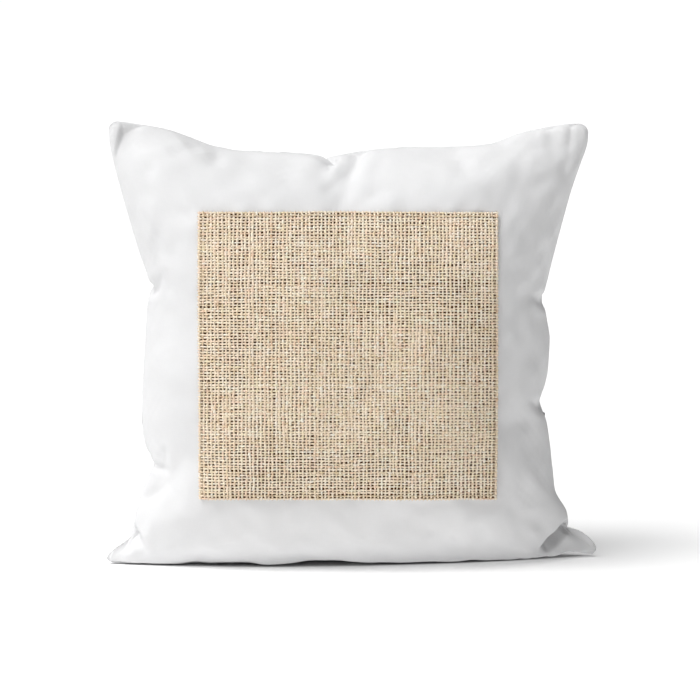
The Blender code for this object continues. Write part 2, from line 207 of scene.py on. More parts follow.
# The sewn edge as it stands, in millimetres: x to the right, y to the back, z up. Each list runs
# from one corner to the next and leaves the corners' own roundness to the spline.
TOP_EDGE = [
    (-121.5, 0, 219.0), (-120.8, 0, 221.2), (-118.6, 0, 222.6), (-115.6, 0, 222.8),
    (-108, 0, 221.8), (-93, 0, 219.2), (-82, 0, 215.6), (-70.5, 0, 211.2), (-60, 0, 208.8),
    (-50, 0, 207.6), (-27, -1, 207), (-16, -4, 206), (-11.5, -6.5, 204), (-7.3, -8, 200.5),
    (-8.6, -3, 201.6), (-12, 2.5, 204.3), (-3.5, 2.5, 206.3), (6, 1, 208), (23, 0, 209.6),
    (50, 0, 210), (62, 0, 210.5), (70.5, 0, 211.6), (85.6, 0, 217.1), (96, 0, 219.5),
    (106, 0, 221.2), (114, 0, 221.8), (118, 0, 221), (120, 0, 218),
]
RIGHT_EDGE = [
    (126.3, 3, 3.6), (126.2, 3, 5.7), (123.2, 3, 9.7), (118.5, 3, 13.2), (113, 2, 15.3),
    (110.4, 1, 16.6), (111.2, 0, 20.3), (110.4, 0, 25.4), (105.2, 0, 34.2), (103.8, 0, 43),
    (100.9, 0, 66.2), (96.6, 1, 79.7), (99, 0, 89), (100.7, 0, 98), (101, 0, 115),
    (97, -1, 132.8), (98.8, 0, 138), (103.7, 0, 158), (111.1, 0, 186), (115.5, 0, 199.5),
    (119.3, 0, 210.5), (120, 0, 218),
]
BOTTOM_EDGE = [
    (-123.2, -15, 2.4), (-121.8, -15, 1.1), (-117.5, -15.5, 0.6), (-108, -15.5, 0.4),
    (-85, -12, 0.4), (-45, -7, 0.4), (0, -3, 0.4), (45, -1, 0.4), (90, 0, 0.7), (102, 1, 2.3),
    (109, 1, 3.5), (115, 2, 2.9), (121, 3, 1.8), (125, 3, 1.7), (126.3, 3, 3.6),
]
LEFT_EDGE = [
    (-123.2, -15, 2.4), (-122.2, -15, 4.8), (-118.2, -15, 8.2), (-114, -14, 11.0),
    (-110.4, -12, 14.4), (-109.4, -10, 19.8), (-108.6, -8, 25.6), (-106.3, -6, 34.2),
    (-103.0, -4, 42.4), (-99.6, -2, 49.4), (-104, 0, 57.6), (-105.6, 0, 66.2), (-105.8, 0, 82),
    (-104.4, 0, 107), (-102.3, 0, 131.7), (-99.2, 1, 138.2), (-102.8, 0, 146), (-108.5, 0, 163),
    (-117, 0, 193.4), (-120.8, 0, 210), (-121.5, 0, 219.0),
]

# Folds pressed into the front: from (x, z) to (x, z), half width, depth and lip, in millimetres,
# and the lean.
FRONT_FOLDS = [
    ((5.5, 209), (-7, 180), 3.4, 2.6, 0.3, 1),
    ((-8, 203), (-17, 199), 1.6, 0.8, 0.1, 1),
    ((-99, 138.5), (-91, 152), 2.2, 2.2, 0.4, 1),
    ((-98, 50), (-87, 48), 1.6, 1.0, 0.3, 1),
    ((-93, 57), (-94, 38), 2.2, 1.3, 0.2, 1),
    ((-103, 34), (-92, 42), 2.2, 1.3, 0.2, 1),
    ((98, 132.5), (88, 139), 2.4, 1.4, 0.4, 1),
    ((97, 79.5), (87, 86), 2.4, 1.6, 0.4, 1),
    ((113, 18), (97, 4), 2.6, 2, 0.0, 1),
    ((-113.4, 222), (-121, 194), 1.2, 2.6, 0.0, 6),
    ((100, 222), (103, 198), 4.0, 1.0, 0.1, 1),
    ((111.5, 222), (109, 200), 1.8, 0.7, 0.1, 1),
    ((92, 221), (96, 200), 3.0, 0.5, 0.1, 1),
    ((-110.5, 14.5), (-112, 3), 1.5, 1.6, 0.4, 1),
    ((-109, 16), (-100, 2), 2.2, 2.6, 0.4, 1),
    ((112, 62), (104, 44), 3.0, 0.8, 0.2, 1),
]

# The pocket beside the right ear: its middle (x, z), the way it runs, half length, half width and
# depth, in millimetres. The cloth is tucked in under the body, to the left, back and up.
POCKET = ((105.8, 12.2), (0.75, 0.66), 7.6, 2.5, 19)
POCKET_WAY = (-0.5, 0.75, 0.43)

# A fold may go this far into the room between the front and the back.
PRESS_LIMIT = 0.45

# Soft dents in the front: (x, z), half width, half height and depth, in millimetres.
FRONT_DENTS = [
    ((-67, 205), 5, 5, 1.3), ((-101, 193), 5, 7, 0.7), ((-54, 197), 7, 5, 0.5),
    ((-17, 196), 8, 6, 0.6), ((52, 205), 6, 4, 0.7), ((34, 199), 9, 6, 0.4),
    ((-92, 118), 6, 8, 0.6), ((-96, 92), 5, 6, 0.5), ((-97, 66), 5, 7, 0.6),
    ((93, 60), 7, 9, 0.8), ((92, 108), 6, 10, 0.6), ((88, 30), 9, 7, 0.7),
    ((40, 22), 14, 6, 0.5), ((-30, 20), 16, 6, 0.4), ((84, 182), 7, 12, 0.5),
]

# The patch, as the front shows it.
PATCH_X = -1.0 * MM
PATCH_WIDTH = 151.4 * MM
PATCH_HEIGHT = 145.8 * MM
PATCH_RISE = 103.3 * MM
PATCH_CUT = (148 * MM, 145 * MM)
WARP_YARNS = 79
WEFT_YARNS = 98
BACKING_LIFT = 0.45 * MM
BACKING_THICK = 0.25 * MM
YARN_LIFT = 1.35 * MM
YARN_WAVE = 0.32 * MM
YARN_HALF_THICK = 0.30 * MM
WARP_HALF_WIDTH = 0.53 * MM
WEFT_HALF_WIDTH = 0.42 * MM

# The camera looks slightly down at the pillow's middle.
CAMERA_DISTANCE = 1.3
CAMERA_RISE = math.radians(6)
CAMERA_TARGET = Vector((0, 0, 0.1072))
VIEW_WIDTH = 0.3556
SENSOR = 36.0

# The zip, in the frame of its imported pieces.
ZIP_Z = 72.0 * MM
ZIP_FACE = 47.15 * MM
ZIP_FLAT_Z = 16.0 * MM
ZIP_FADE_Z = 50.0 * MM
ZIP_FLAT_X = 83.0 * MM
ZIP_FADE_X = 98.0 * MM
WINDOW_HALF_HEIGHT = 4.75 * MM
WINDOW_HALF_LENGTH = 77.0 * MM
WINDOW_END = 79.0 * MM

# The cloth simulation, and how far it may carry a point.
SIM_FRAMES = 20
SIM_REACH = 5.0 * MM
SIM_EASE = 22 * MM
SIM_CALM = 3
CLOTH = {
    "quality": 6, "mass": 0.002, "tension_stiffness": 40, "compression_stiffness": 40,
    "shear_stiffness": 12, "bending_stiffness": 0.2, "tension_damping": 5,
    "compression_damping": 5, "shear_damping": 5, "air_damping": 2, "shrink_min": -0.008,
    "vertex_group_mass": "held", "use_pressure": True, "uniform_pressure_force": 4.0,
}

# Folds pressed into the back, as the front's.
BACK_FOLDS = [
    ((-104, 132), (-92, 128), 2.4, 1.8, 0.6, 1),
    ((103, 128), (90, 133), 2.4, 1.8, 0.6, 1),
    ((-40, 207), (-34, 186), 3.0, 1.6, 0.6, 1),
    ((34, 208), (28, 190), 3.0, 1.6, 0.6, 1),
    ((-106, 214), (-96, 196), 3.0, 1.4, 0.4, 1),
    ((108, 214), (98, 196), 3.0, 1.4, 0.4, 1),
    ((-110, 12), (-96, 10), 2.2, 1.6, 0.5, 1),
    ((112, 14), (97, 11), 2.2, 1.6, 0.5, 1),
]
BACK_DENTS = [
    ((-70, 190), 12, 9, 1.0), ((60, 195), 10, 8, 0.9), ((10, 200), 9, 6, 0.7),
    ((-92, 160), 8, 10, 0.8), ((92, 150), 8, 12, 0.8), ((-40, 24), 14, 7, 0.8), ((50, 26), 12, 7, 0.8),
]

# The insert and its filling are the cover drawn in towards this middle: shares of x, y and z, and
# how much further their corners are drawn in.
INSERT_MIDDLE = (0, 0, 0.098)
INSERT_SHARES = (0.955, 0.88, 0.955)
FILLING_SHARES = (0.93, 0.82, 0.93)
CORNER_DRAW = 18 * MM

# The edge of a back panel, rolled under beside the zip: how far in and how far back, in
# millimetres, from the innermost line to the outermost.
ROLL = [(0.62, -2.4), (0.62, -0.5), (0.5, -0.12), (0.25, 0.05), (0.06, 0.0)]
METAL_NODES = (
    "zip_slider", "zip_pull_tab", "zip_top_stop_upper", "zip_top_stop_lower", "zip_bottom_stop",
)

# Colours.
COTTON_LIGHT = (0.86, 0.86, 0.865)
COTTON_SHADE = (0.83, 0.83, 0.835)
JUTE_DARK = (0.58, 0.40, 0.23)
JUTE_MIDDLE = (0.92, 0.75, 0.55)
JUTE_LIGHT = (1.0, 0.87, 0.70)
JUTE_PALE = (1.0, 0.95, 0.84)
JUTE_PINK = (1.0, 0.86, 0.84)
JUTE_OLIVE = (0.95, 0.97, 0.84)
# The backing's browns are dark so that the weave's gaps show painted shade.
GAP_SHADE_BROWN = (0.17, 0.06, 0.015)
GAP_SHADE_DARK = (0.09, 0.03, 0.008)

# The studio.
ROOM_LIGHT = 0.04
ROOM_COLOUR = (0.99, 0.995, 1.0)
ROOM_SEEN = 1.02
FLOOR_GLOW = 0.26

# The floor doesn't glow in an oval under the pillow, which leaves a painted contact shadow there.
SHADOW_OVAL_MIDDLE = -4 * MM
SHADOW_OVAL_SLANT = 0.09
SHADOW_OVAL_HALF_WIDTH = 126 * MM
SHADOW_OVAL_HALF_DEPTH = 18 * MM
SHADOW_OVAL_ROUNDNESS = 2.2
SHADOW_OVAL_FADE = (0.9, 1.06)

# Each lamp's name, the way it shines from, its width in degrees and its strength.
LAMPS = [
    ("overhead", (-0.55, -0.05, 1.5), 40, 0.95),
    ("above", (-0.3, -0.3, 1.5), 40, 0.93),
    ("key", (-0.9, -0.5, 1.2), 40, 1.64),
]
# ---------------------------------------------------------------------------------------------
# Curves and surfaces as arrays of points.


def looked_up(places, steps, line):
    """The points of a line at other places along it."""
    return np.stack([np.interp(places, steps, line[:, k]) for k in range(3)], axis=1)


def spread(line, samples):
    """A line with its points spaced evenly along it."""
    steps = np.r_[0, np.cumsum(np.linalg.norm(np.diff(line, axis=0), axis=1))]
    return looked_up(np.linspace(0, steps[-1], samples), steps, line)


def between(a, b, c, d, t):
    """The point between b and c, at t from 0 to 1, on a smooth curve through all four."""
    bend = (2 * a - 5 * b + 4 * c - d) * t**2 + (3 * b - a - 3 * c + d) * t**3
    return 0.5 * (2 * b + (c - a) * t + bend)


def catmull(points, samples):
    """Points spaced evenly along a smooth curve through the given points."""
    points = np.asarray(points, float)
    ends = np.vstack([2 * points[0] - points[1], points, 2 * points[-1] - points[-2]])
    t = np.linspace(0, 1, 40, endpoint=False)[:, None]
    curve = [between(*ends[k - 1 : k + 3], t) for k in range(1, len(ends) - 2)]
    return spread(np.vstack(curve + [points[-1:]]), samples)


def unit(ways):
    """The same directions, each of length 1."""
    return ways / np.maximum(np.linalg.norm(ways, axis=-1, keepdims=True), 1e-12)


def smoothed(edge, passes):
    """An edge with its ends kept and its bumps worn away."""
    soft = edge.copy()
    for _ in range(passes):
        soft[1:-1] = 0.25 * soft[:-2] + 0.5 * soft[1:-1] + 0.25 * soft[2:]
    return soft


def coons(bottom, top, left, right):
    """A surface spanned by four edges; rows climb, columns run to the right."""
    n = len(bottom)
    u = np.linspace(0, 1, n)[None, :, None]
    v = np.linspace(0, 1, n)[:, None, None]
    surface = (1 - v) * bottom[None] + v * top[None] + (1 - u) * left[:, None] + u * right[:, None]
    corners = (1 - u) * (1 - v) * bottom[0] + u * (1 - v) * bottom[-1]
    corners = corners + (1 - u) * v * top[0] + u * v * top[-1]
    return surface - corners


def climb(samples):
    """(share of the depth, rise) spaced evenly by length from the bottom seam up to the top one."""
    v = np.sin(np.linspace(math.asin(FRONT_CUT), math.pi / 2, CLIMB_STEPS))
    start = FRONT_FOOT_RISE / MIDDLE_HEIGHT
    foot = np.linspace(0, 1, FOOT_STEPS, endpoint=False)
    share = np.r_[foot * math.sqrt(1 - FRONT_CUT**2), np.sqrt(np.maximum(0, 1 - v * v))]
    rise = np.r_[start * foot, start + (1 - start) * (v - FRONT_CUT) / (1 - FRONT_CUT)]
    out = np.diff(share) * FRONT_DEPTH
    steps = np.r_[0, np.cumsum(np.hypot(out, np.diff(rise) * MIDDLE_HEIGHT))]
    even = np.linspace(0, steps[-1], samples)
    return np.interp(even, steps, share), np.interp(even, steps, rise)


def across(samples):
    """Places from -1 to 1 spaced evenly by length across the swelling."""
    u = np.sin(np.linspace(-math.pi / 2, math.pi / 2, ACROSS_STEPS))
    y = FRONT_DEPTH * np.sqrt(np.maximum(0, 1 - np.abs(u) ** FRONT_POWER))
    steps = np.r_[0, np.cumsum(np.hypot(np.diff(u) * MIDDLE_HALF_WIDTH, np.diff(y)))]
    return np.interp(np.linspace(0, steps[-1], samples), steps, u)


def warped(surface, u_rows, v_axis):
    """A surface looked up at other places: its rows at v_axis, and each row at its own u_rows."""
    n = surface.shape[0]
    grid = np.linspace(0, 1, n)
    rows = np.empty((len(v_axis), n, 3))
    for i in range(n):
        rows[:, i] = looked_up(v_axis, grid, surface[:, i])
    out = np.empty((len(v_axis), u_rows.shape[1], 3))
    for j in range(len(v_axis)):
        out[j] = looked_up(u_rows[j], grid, rows[j])
    return out


def refined(surface, cells):
    """The same surface with more rows and columns, smooth between the old ones."""
    return finer(finer(surface, cells).transpose(1, 0, 2), cells).transpose(1, 0, 2)


def finer(rows, cells):
    """The same rows with more of them, smooth between the old ones."""
    old = len(rows) - 1
    place = np.linspace(0, old, cells + 1)
    k = np.minimum(place.astype(int), old - 1)
    t = (place - k)[:, None, None]
    return between(*(rows[np.clip(k + step, 0, old)] for step in (-1, 0, 1, 2)), t)


def normals(surface, side):
    """Unit normals that point out of the pillow."""
    across_it = np.gradient(surface, axis=1)
    up_it = np.gradient(surface, axis=0)
    return unit(np.cross(across_it, up_it) * -side)


def fade(x):
    """0 to 1, smoothly."""
    x = np.clip(x, 0, 1)
    return x * x * (3 - 2 * x)


def wandering(rng, shape, cells):
    """Smooth noise on a grid, about -1 to 1."""
    coarse = rng.standard_normal((cells + 1, cells + 1, 1))
    wide = refined(coarse, max(shape) - 1)[:, :, 0]
    return wide[: shape[0], : shape[1]] * 0.6


# ---------------------------------------------------------------------------------------------
# The cover's two faces.


def side_places(samples):
    """Where along a side seam each row of the cloth is sewn, so that its bends stay level."""
    share, rise = climb(samples)
    foot = np.argmax(share >= math.sqrt(1 - FRONT_CUT**2) * 0.98)
    early = np.minimum(1, np.arange(samples) / foot)
    return rise + EAR_SHARE * early * (1 - fade(rise / 0.2))


def seam_edges(samples):
    """The bottom, top, left and right seams, with a point for each row or column of the cloth."""
    even = np.linspace(0, 1, 8 * samples)
    edges = [catmull(e, samples) * MM for e in (BOTTOM_EDGE, TOP_EDGE)]
    for side in (LEFT_EDGE, RIGHT_EDGE):
        line = catmull(side, 8 * samples) * MM
        edges.append(looked_up(side_places(samples), even, line))
    return edges


def near_edges(detail, n):
    """The seam's own bends, carried a little way into the cloth and shared out near the corners."""
    low = (np.arange(n) + 0.02) * FLAT / CELLS
    gaps = (low[:, None], low[::-1, None], low[None], low[None, ::-1])
    bends = (detail[0][None], detail[1][None], detail[2][:, None], detail[3][:, None])
    carried = 0
    weight = 0
    for gap, bend in zip(gaps, bends):
        carried = carried + (np.exp(-((gap / SEAM_REACH) ** 1.5)) / gap)[:, :, None] * bend
        weight = weight + 1 / gap
    return carried / weight[:, :, None]


def corner_swell(n):
    """How much of the swelling is left near the two top corners."""
    line = np.linspace(0, FLAT, n)
    down = line[::-1, None]
    gap = np.hypot(down, np.minimum(line, FLAT - line)[None])
    return 1 - CORNER_FLATNESS * np.exp(-((gap / CORNER_REACH) ** 2))


def base_surface(side):
    """The filled shape that the simulation starts from: (rows, columns, xyz)."""
    n = CELLS + 1
    edges = seam_edges(n)
    soft = [smoothed(e, SOFT_PASSES) for e in edges]
    depth, power, narrowing = BACK_DEPTH, BACK_POWER, BACK_NARROWING
    if side < 0:
        depth, power, narrowing = FRONT_DEPTH, FRONT_POWER, FRONT_NARROWING
    share, rise = climb(n)
    # Towards the top and bottom seams the columns spread out evenly, as the seams' points do.
    full = (share / share.max())[:, None]
    u = across(n)[None] * full + np.linspace(-1, 1, n)[None] * (1 - full)
    plane = warped(coons(*[spread(e, n) for e in soft]), (u + 1) / 2, rise)
    detail = [e - s for e, s in zip(edges, soft)]
    plane += near_edges(detail, n)
    # The seam itself is exact.
    plane[0], plane[-1], plane[:, 0], plane[:, -1] = edges
    # Near the floor the pillow narrows towards its corners.
    low = (1 - fade(rise * MIDDLE_HEIGHT / FOOT_HEIGHT))[:, None] * narrowing
    reach = np.maximum(0, 1 - np.abs(u) ** (power - (power - NARROWEST_POWER) * low))
    swell = share[:, None] * reach ** (0.5 + 0.5 * low) * corner_swell(n)
    plane[:, :, 1] += side * depth * swell
    return plane


def zip_hold(surface):
    """1 where the zip keeps the back flat, 0 away from it."""
    along = 1 - fade((np.abs(surface[:, :, 0]) - ZIP_FLAT_X) / (ZIP_FADE_X - ZIP_FLAT_X))
    up = 1 - fade((np.abs(surface[:, :, 2] - ZIP_Z) - ZIP_FLAT_Z) / (ZIP_FADE_Z - ZIP_FLAT_Z))
    return along * up


def sewn_indices():
    """Vertex numbers of the front and the back grid, which share their edge."""
    n = CELLS + 1
    front = np.arange(n * n).reshape(n, n)
    back = front.copy()
    back[1:-1, 1:-1] = n * n + np.arange((n - 2) ** 2).reshape(n - 2, n - 2)
    return front, back


def quads(index, flip):
    a, b, c, d = index[:-1, :-1], index[:-1, 1:], index[1:, 1:], index[1:, :-1]
    order = (a, d, c, b) if flip else (a, b, c, d)
    return np.stack([q.ravel() for q in order], axis=1)


def inflate(front, back):
    """Swells the sewn panels with Blender's cloth, with their seam held still."""
    front_index, back_index = sewn_indices()
    start = np.empty((back_index.max() + 1, 3))
    start[back_index] = back
    start[front_index] = front
    faces = np.vstack([quads(front_index, False), quads(back_index, True)])
    made = new_object("cover_cloth", start, faces)
    group = made.vertex_groups.new(name="held")
    edge = front_index.copy()
    edge[1:-1, 1:-1] = -1
    group.add(sorted(edge[edge >= 0].tolist()), 1.0, "REPLACE")
    cloth = made.modifiers.new("cloth", "CLOTH")
    settings = cloth.settings
    for key, value in CLOTH.items():
        setattr(settings, key, value)
    settings.effector_weights.gravity = 0
    cloth.collision_settings.use_collision = False
    cloth.point_cache.frame_start = 1
    cloth.point_cache.frame_end = SIM_FRAMES
    scene = bpy.context.scene
    for k in range(1, SIM_FRAMES + 1):
        scene.frame_set(k)
    swollen = made.evaluated_get(bpy.context.evaluated_depsgraph_get())
    points = np.empty(len(start) * 3, np.float32)
    swollen.to_mesh().vertices.foreach_get("co", points)
    swollen.to_mesh_clear()
    points = points.reshape(-1, 3).astype(float)
    scene.frame_set(1)
    bpy.data.objects.remove(made, do_unlink=True)
    return points[front_index], points[back_index]


def new_object(name, points, faces, more_faces=None):
    """A mesh object from arrays: points (N, 3), and one or two sets of faces (M, 3 or 4)."""
    sets = [faces] if more_faces is None else [faces, more_faces]
    corners = np.concatenate([part.ravel() for part in sets]).astype(np.int32)
    starts = [np.arange(0, part.size, part.shape[1]) for part in sets]
    starts[-1] = starts[-1] + len(corners) - sets[-1].size
    starts = np.concatenate(starts).astype(np.int32)
    mesh = bpy.data.meshes.new(name)
    mesh.vertices.add(len(points))
    mesh.vertices.foreach_set("co", np.asarray(points, np.float32).ravel())
    mesh.loops.add(len(corners))
    mesh.loops.foreach_set("vertex_index", corners)
    mesh.polygons.add(len(starts))
    mesh.polygons.foreach_set("loop_start", starts)
    mesh.update(calc_edges=True)
    mesh.validate()
    mesh.shade_smooth()
    made = bpy.data.objects.new(name, mesh)
    bpy.context.scene.collection.objects.link(made)
    return made


# ---------------------------------------------------------------------------------------------
# Folds, and the surfaces that everything else follows.


def calm(surface, passes):
    """A surface with its edges kept and its bumps worn away."""
    soft = surface.copy()
    for _ in range(passes):
        soft[1:-1, 1:-1] = (soft[:-2, 1:-1] + soft[2:, 1:-1] + soft[1:-1, :-2] + soft[1:-1, 2:]) / 4
    return soft


def pressed(surface, side, folds, room):
    """The surface with its folds: each a valley between two low lips, deepest at its first end.

    The lean is how many times wider the valley is on one side than on the other.
    """
    out = normals(surface, side)
    push = np.zeros(surface.shape[:2])
    x, z = surface[:, :, 0] / MM, surface[:, :, 2] / MM
    for (x0, z0), (x1, z1), width, depth, lip, lean in folds:
        length = math.hypot(x1 - x0, z1 - z0)
        along = ((x - x0) * (x1 - x0) + (z - z0) * (z1 - z0)) / length**2
        off = ((x - x0) * (z1 - z0) - (z - z0) * (x1 - x0)) / length
        off = np.where(off < 0, off / lean, off)
        strength = (1 - fade(along)) * fade(1 + along * length / 6)
        valley = -depth * np.exp(-((off / width) ** 2))
        lips = lip * np.exp(-(((np.abs(off) - 2.2 * width) / width) ** 2))
        push += strength * (valley + lips)
    held = fade(seam_gap(len(surface)) / (4 * MM))[:, :, None]
    moved = out * np.maximum(push * MM, -PRESS_LIMIT * room)[:, :, None]
    if side < 0:
        moved += pocket(x, z)[:, :, None] * np.array(POCKET_WAY) * MM
    return surface + moved * held


def pocket(x, z):
    """How deep the cloth is tucked in beside the right ear."""
    (x0, z0), (way_x, way_z), half_long, half_wide, depth = POCKET
    along = (x - x0) * way_x + (z - z0) * way_z
    off = (x - x0) * way_z - (z - z0) * way_x
    return depth * np.exp(-((along / half_long) ** 4) - (off / half_wide) ** 4)


def dented(surface, side, dents):
    """The surface with soft hollows."""
    push = np.zeros(surface.shape[:2])
    x, z = surface[:, :, 0] / MM, surface[:, :, 2] / MM
    for (x0, z0), wide, tall, depth in dents:
        push -= depth * np.exp(-(((x - x0) / wide) ** 2) - ((z - z0) / tall) ** 2)
    gap = seam_gap(len(surface))
    return surface + normals(surface, side) * (push * fade(gap / (6 * MM)))[:, :, None] * MM


def seam_gap(n):
    """How far each point of a panel lies from its nearest seam, along the cloth."""
    line = np.linspace(0, FLAT, n)
    gap = np.minimum(line, FLAT - line)
    return np.minimum(gap[:, None], gap[None])


def puckered(surface, side, seed):
    """Little gathers that the seam pulls into the cloth beside it."""
    rng = np.random.default_rng(seed)
    n = len(surface)
    line = np.linspace(0, FLAT, n)
    gap = np.minimum(line, FLAT - line)
    ripple = [np.interp(line, np.linspace(0, FLAT, 46), rng.standard_normal(46)) for _ in range(4)]
    ripple = [smoothed(r[:, None], 3)[:, 0] for r in ripple]
    across_it = np.exp(-gap / (7 * MM)) * fade(gap / (2.5 * MM))
    low, high = line[:, None] < FLAT / 2, line[None] < FLAT / 2
    beside = across_it[:, None] * np.where(low, ripple[0][None], ripple[1][None])
    beside += across_it[None] * np.where(high, ripple[2][:, None], ripple[3][:, None])
    soft = wandering(rng, (n, n), 14) + 0.7 * wandering(rng, (n, n), 36)
    push = 0.22 * beside + 0.7 * soft * fade(gap / (14 * MM))[:, None] * fade(gap / (14 * MM))[None]
    return surface + normals(surface, side) * push[:, :, None] * MM


def cover_faces():
    """The front and the back of the filled cover, fine, and both again as they leave the cloth."""
    front, back = base_surface(-1), base_surface(1)
    swollen = [front, back]
    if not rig.quick():
        swollen = inflate(front, back)
    moved = []
    free = (0.15 + 0.85 * fade(seam_gap(CELLS + 1) / SIM_EASE))[:, :, None]
    for start, end in zip((front, back), swollen):
        step = calm(end - start, SIM_CALM)
        size = np.linalg.norm(step, axis=2, keepdims=True)
        moved.append(start + step * free * np.minimum(1, SIM_REACH / np.maximum(size, 1e-9)))
    front, back = moved
    hold = zip_hold(back)
    back[:, :, 1] += hold * (ZIP_FACE - back[:, :, 1])
    room = np.linalg.norm(refined(back, FINE_CELLS) - refined(front, FINE_CELLS), axis=2)
    fine = []
    for side, surface, folds, dents in (
        (-1, front, FRONT_FOLDS, FRONT_DENTS), (1, back, BACK_FOLDS, BACK_DENTS)
    ):
        surface = dented(refined(surface, FINE_CELLS), side, dents)
        surface = puckered(pressed(surface, side, folds, room), side, SEED + side)
        surface[:, :, 2] = np.maximum(surface[:, :, 2], FLOOR_CLEAR)
        fine.append(surface)
    hold = zip_hold(fine[1])
    fine[1][:, :, 1] += hold * (ZIP_FACE - fine[1][:, :, 1])
    fine[1][0], fine[1][-1], fine[1][:, 0], fine[1][:, -1] = (
        fine[0][0], fine[0][-1], fine[0][:, 0], fine[0][:, -1],
    )
    return fine[0], fine[1], front, back


def grid_object(name, surface, side, cut):
    """One layer of cloth from a grid of points, with its place on the flat cut as a UV map."""
    rows, columns = surface.shape[:2]
    index = np.arange(rows * columns).reshape(rows, columns)
    faces = quads(index, side > 0)
    made = new_object(name, surface.reshape(-1, 3), faces)
    give_uv(made, cut.reshape(-1, 2))
    return made


def give_uv(made, flat):
    layer = made.data.uv_layers.new(name="cut")
    used = np.empty(len(made.data.loops), np.int32)
    made.data.loops.foreach_get("vertex_index", used)
    layer.data.foreach_set("uv", flat[used].astype(np.float32).ravel())


def cut_grid(rows, columns, width=FLAT, height=FLAT, low=0.0):
    u, v = np.meshgrid(np.linspace(0, width, columns), np.linspace(low, height, rows))
    return np.stack([u, v], axis=2)


def dress(made, slot, material, *nodes):
    """Gives a piece of the cover its body, record slot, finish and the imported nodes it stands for."""
    made.data.materials.clear()
    made.data.materials.append(material)
    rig.ride(made, "cover")
    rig.slot(made, slot)
    if nodes:
        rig.replaces(made, *nodes)
    return made


# ---------------------------------------------------------------------------------------------
# The cover's three panels and its seam.


def window_edge(x):
    """How far the panel's edge stands from the zip's middle, at x."""
    closing = fade((WINDOW_END - np.abs(x)) / (WINDOW_END - WINDOW_HALF_LENGTH + 4 * MM))
    return 0.15 * MM + (WINDOW_HALF_HEIGHT - 0.15 * MM) * closing


def back_panel(name, back, upper):
    """The back's cloth on one side of the zip, its edge rolled under."""
    n = back.shape[0]
    z = back[:, :, 2]
    way = 1 if upper else -1
    rows = int(n * (0.66 if upper else 0.34))
    surface = np.empty((rows + len(ROLL), n, 3))
    cut = np.empty((rows + len(ROLL), n, 2))
    start = int(n * 0.12)
    for i in range(n):
        column = z[start : n // 2, i]
        x = np.interp(ZIP_Z, column, back[start : n // 2, i, 0])
        goal = ZIP_Z + way * window_edge(x)
        place = np.interp(goal, column, np.arange(start, n // 2))
        lines = np.linspace(place, n - 1 if upper else 0, rows)
        low = np.minimum(lines.astype(int), n - 2)
        share = (lines - low)[:, None]
        surface[len(ROLL) :, i] = back[low, i] * (1 - share) + back[low + 1, i] * share
        cut[len(ROLL) :, i, 0] = i * FLAT / (n - 1)
        cut[len(ROLL) :, i, 1] = lines * FLAT / (n - 1)
        edge = surface[len(ROLL), i]
        for k, (inward, down) in enumerate(ROLL):
            surface[k, i] = edge + np.array((0, -inward, -way * down)) * MM
            cut[k, i] = cut[len(ROLL), i] + (0, -way * inward * MM)
    return grid_object(name, surface, 1 if upper else -1, cut)


def cover_pieces(front, back, cloth):
    n = front.shape[0]
    panel = grid_object("cover_front", front, -1, cut_grid(n, n))
    dress(panel, "cover_cloth", cloth, "cover_front_panel")
    upper = back_panel("cover_back_upper", back, True)
    dress(upper, "cover_cloth", cloth, "cover_back_upper_panel")
    lower = back_panel("cover_back_lower", back, False)
    dress(lower, "cover_cloth", cloth, "cover_back_lower_panel")
    for made in (panel, upper, lower):
        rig.padded(made, fill=0.85)
    return panel


def seam_line(front, inset):
    """The sewn edge all the way round, moved inward."""
    ring = np.vstack([front[0, :-1], front[:-1, -1], front[-1, :0:-1], front[:0:-1, 0]])
    middle = np.array((0, 0, MIDDLE_HEIGHT / 2))
    reach = np.linalg.norm(ring - middle, axis=1, keepdims=True)
    return ring + (middle - ring) * inset / reach


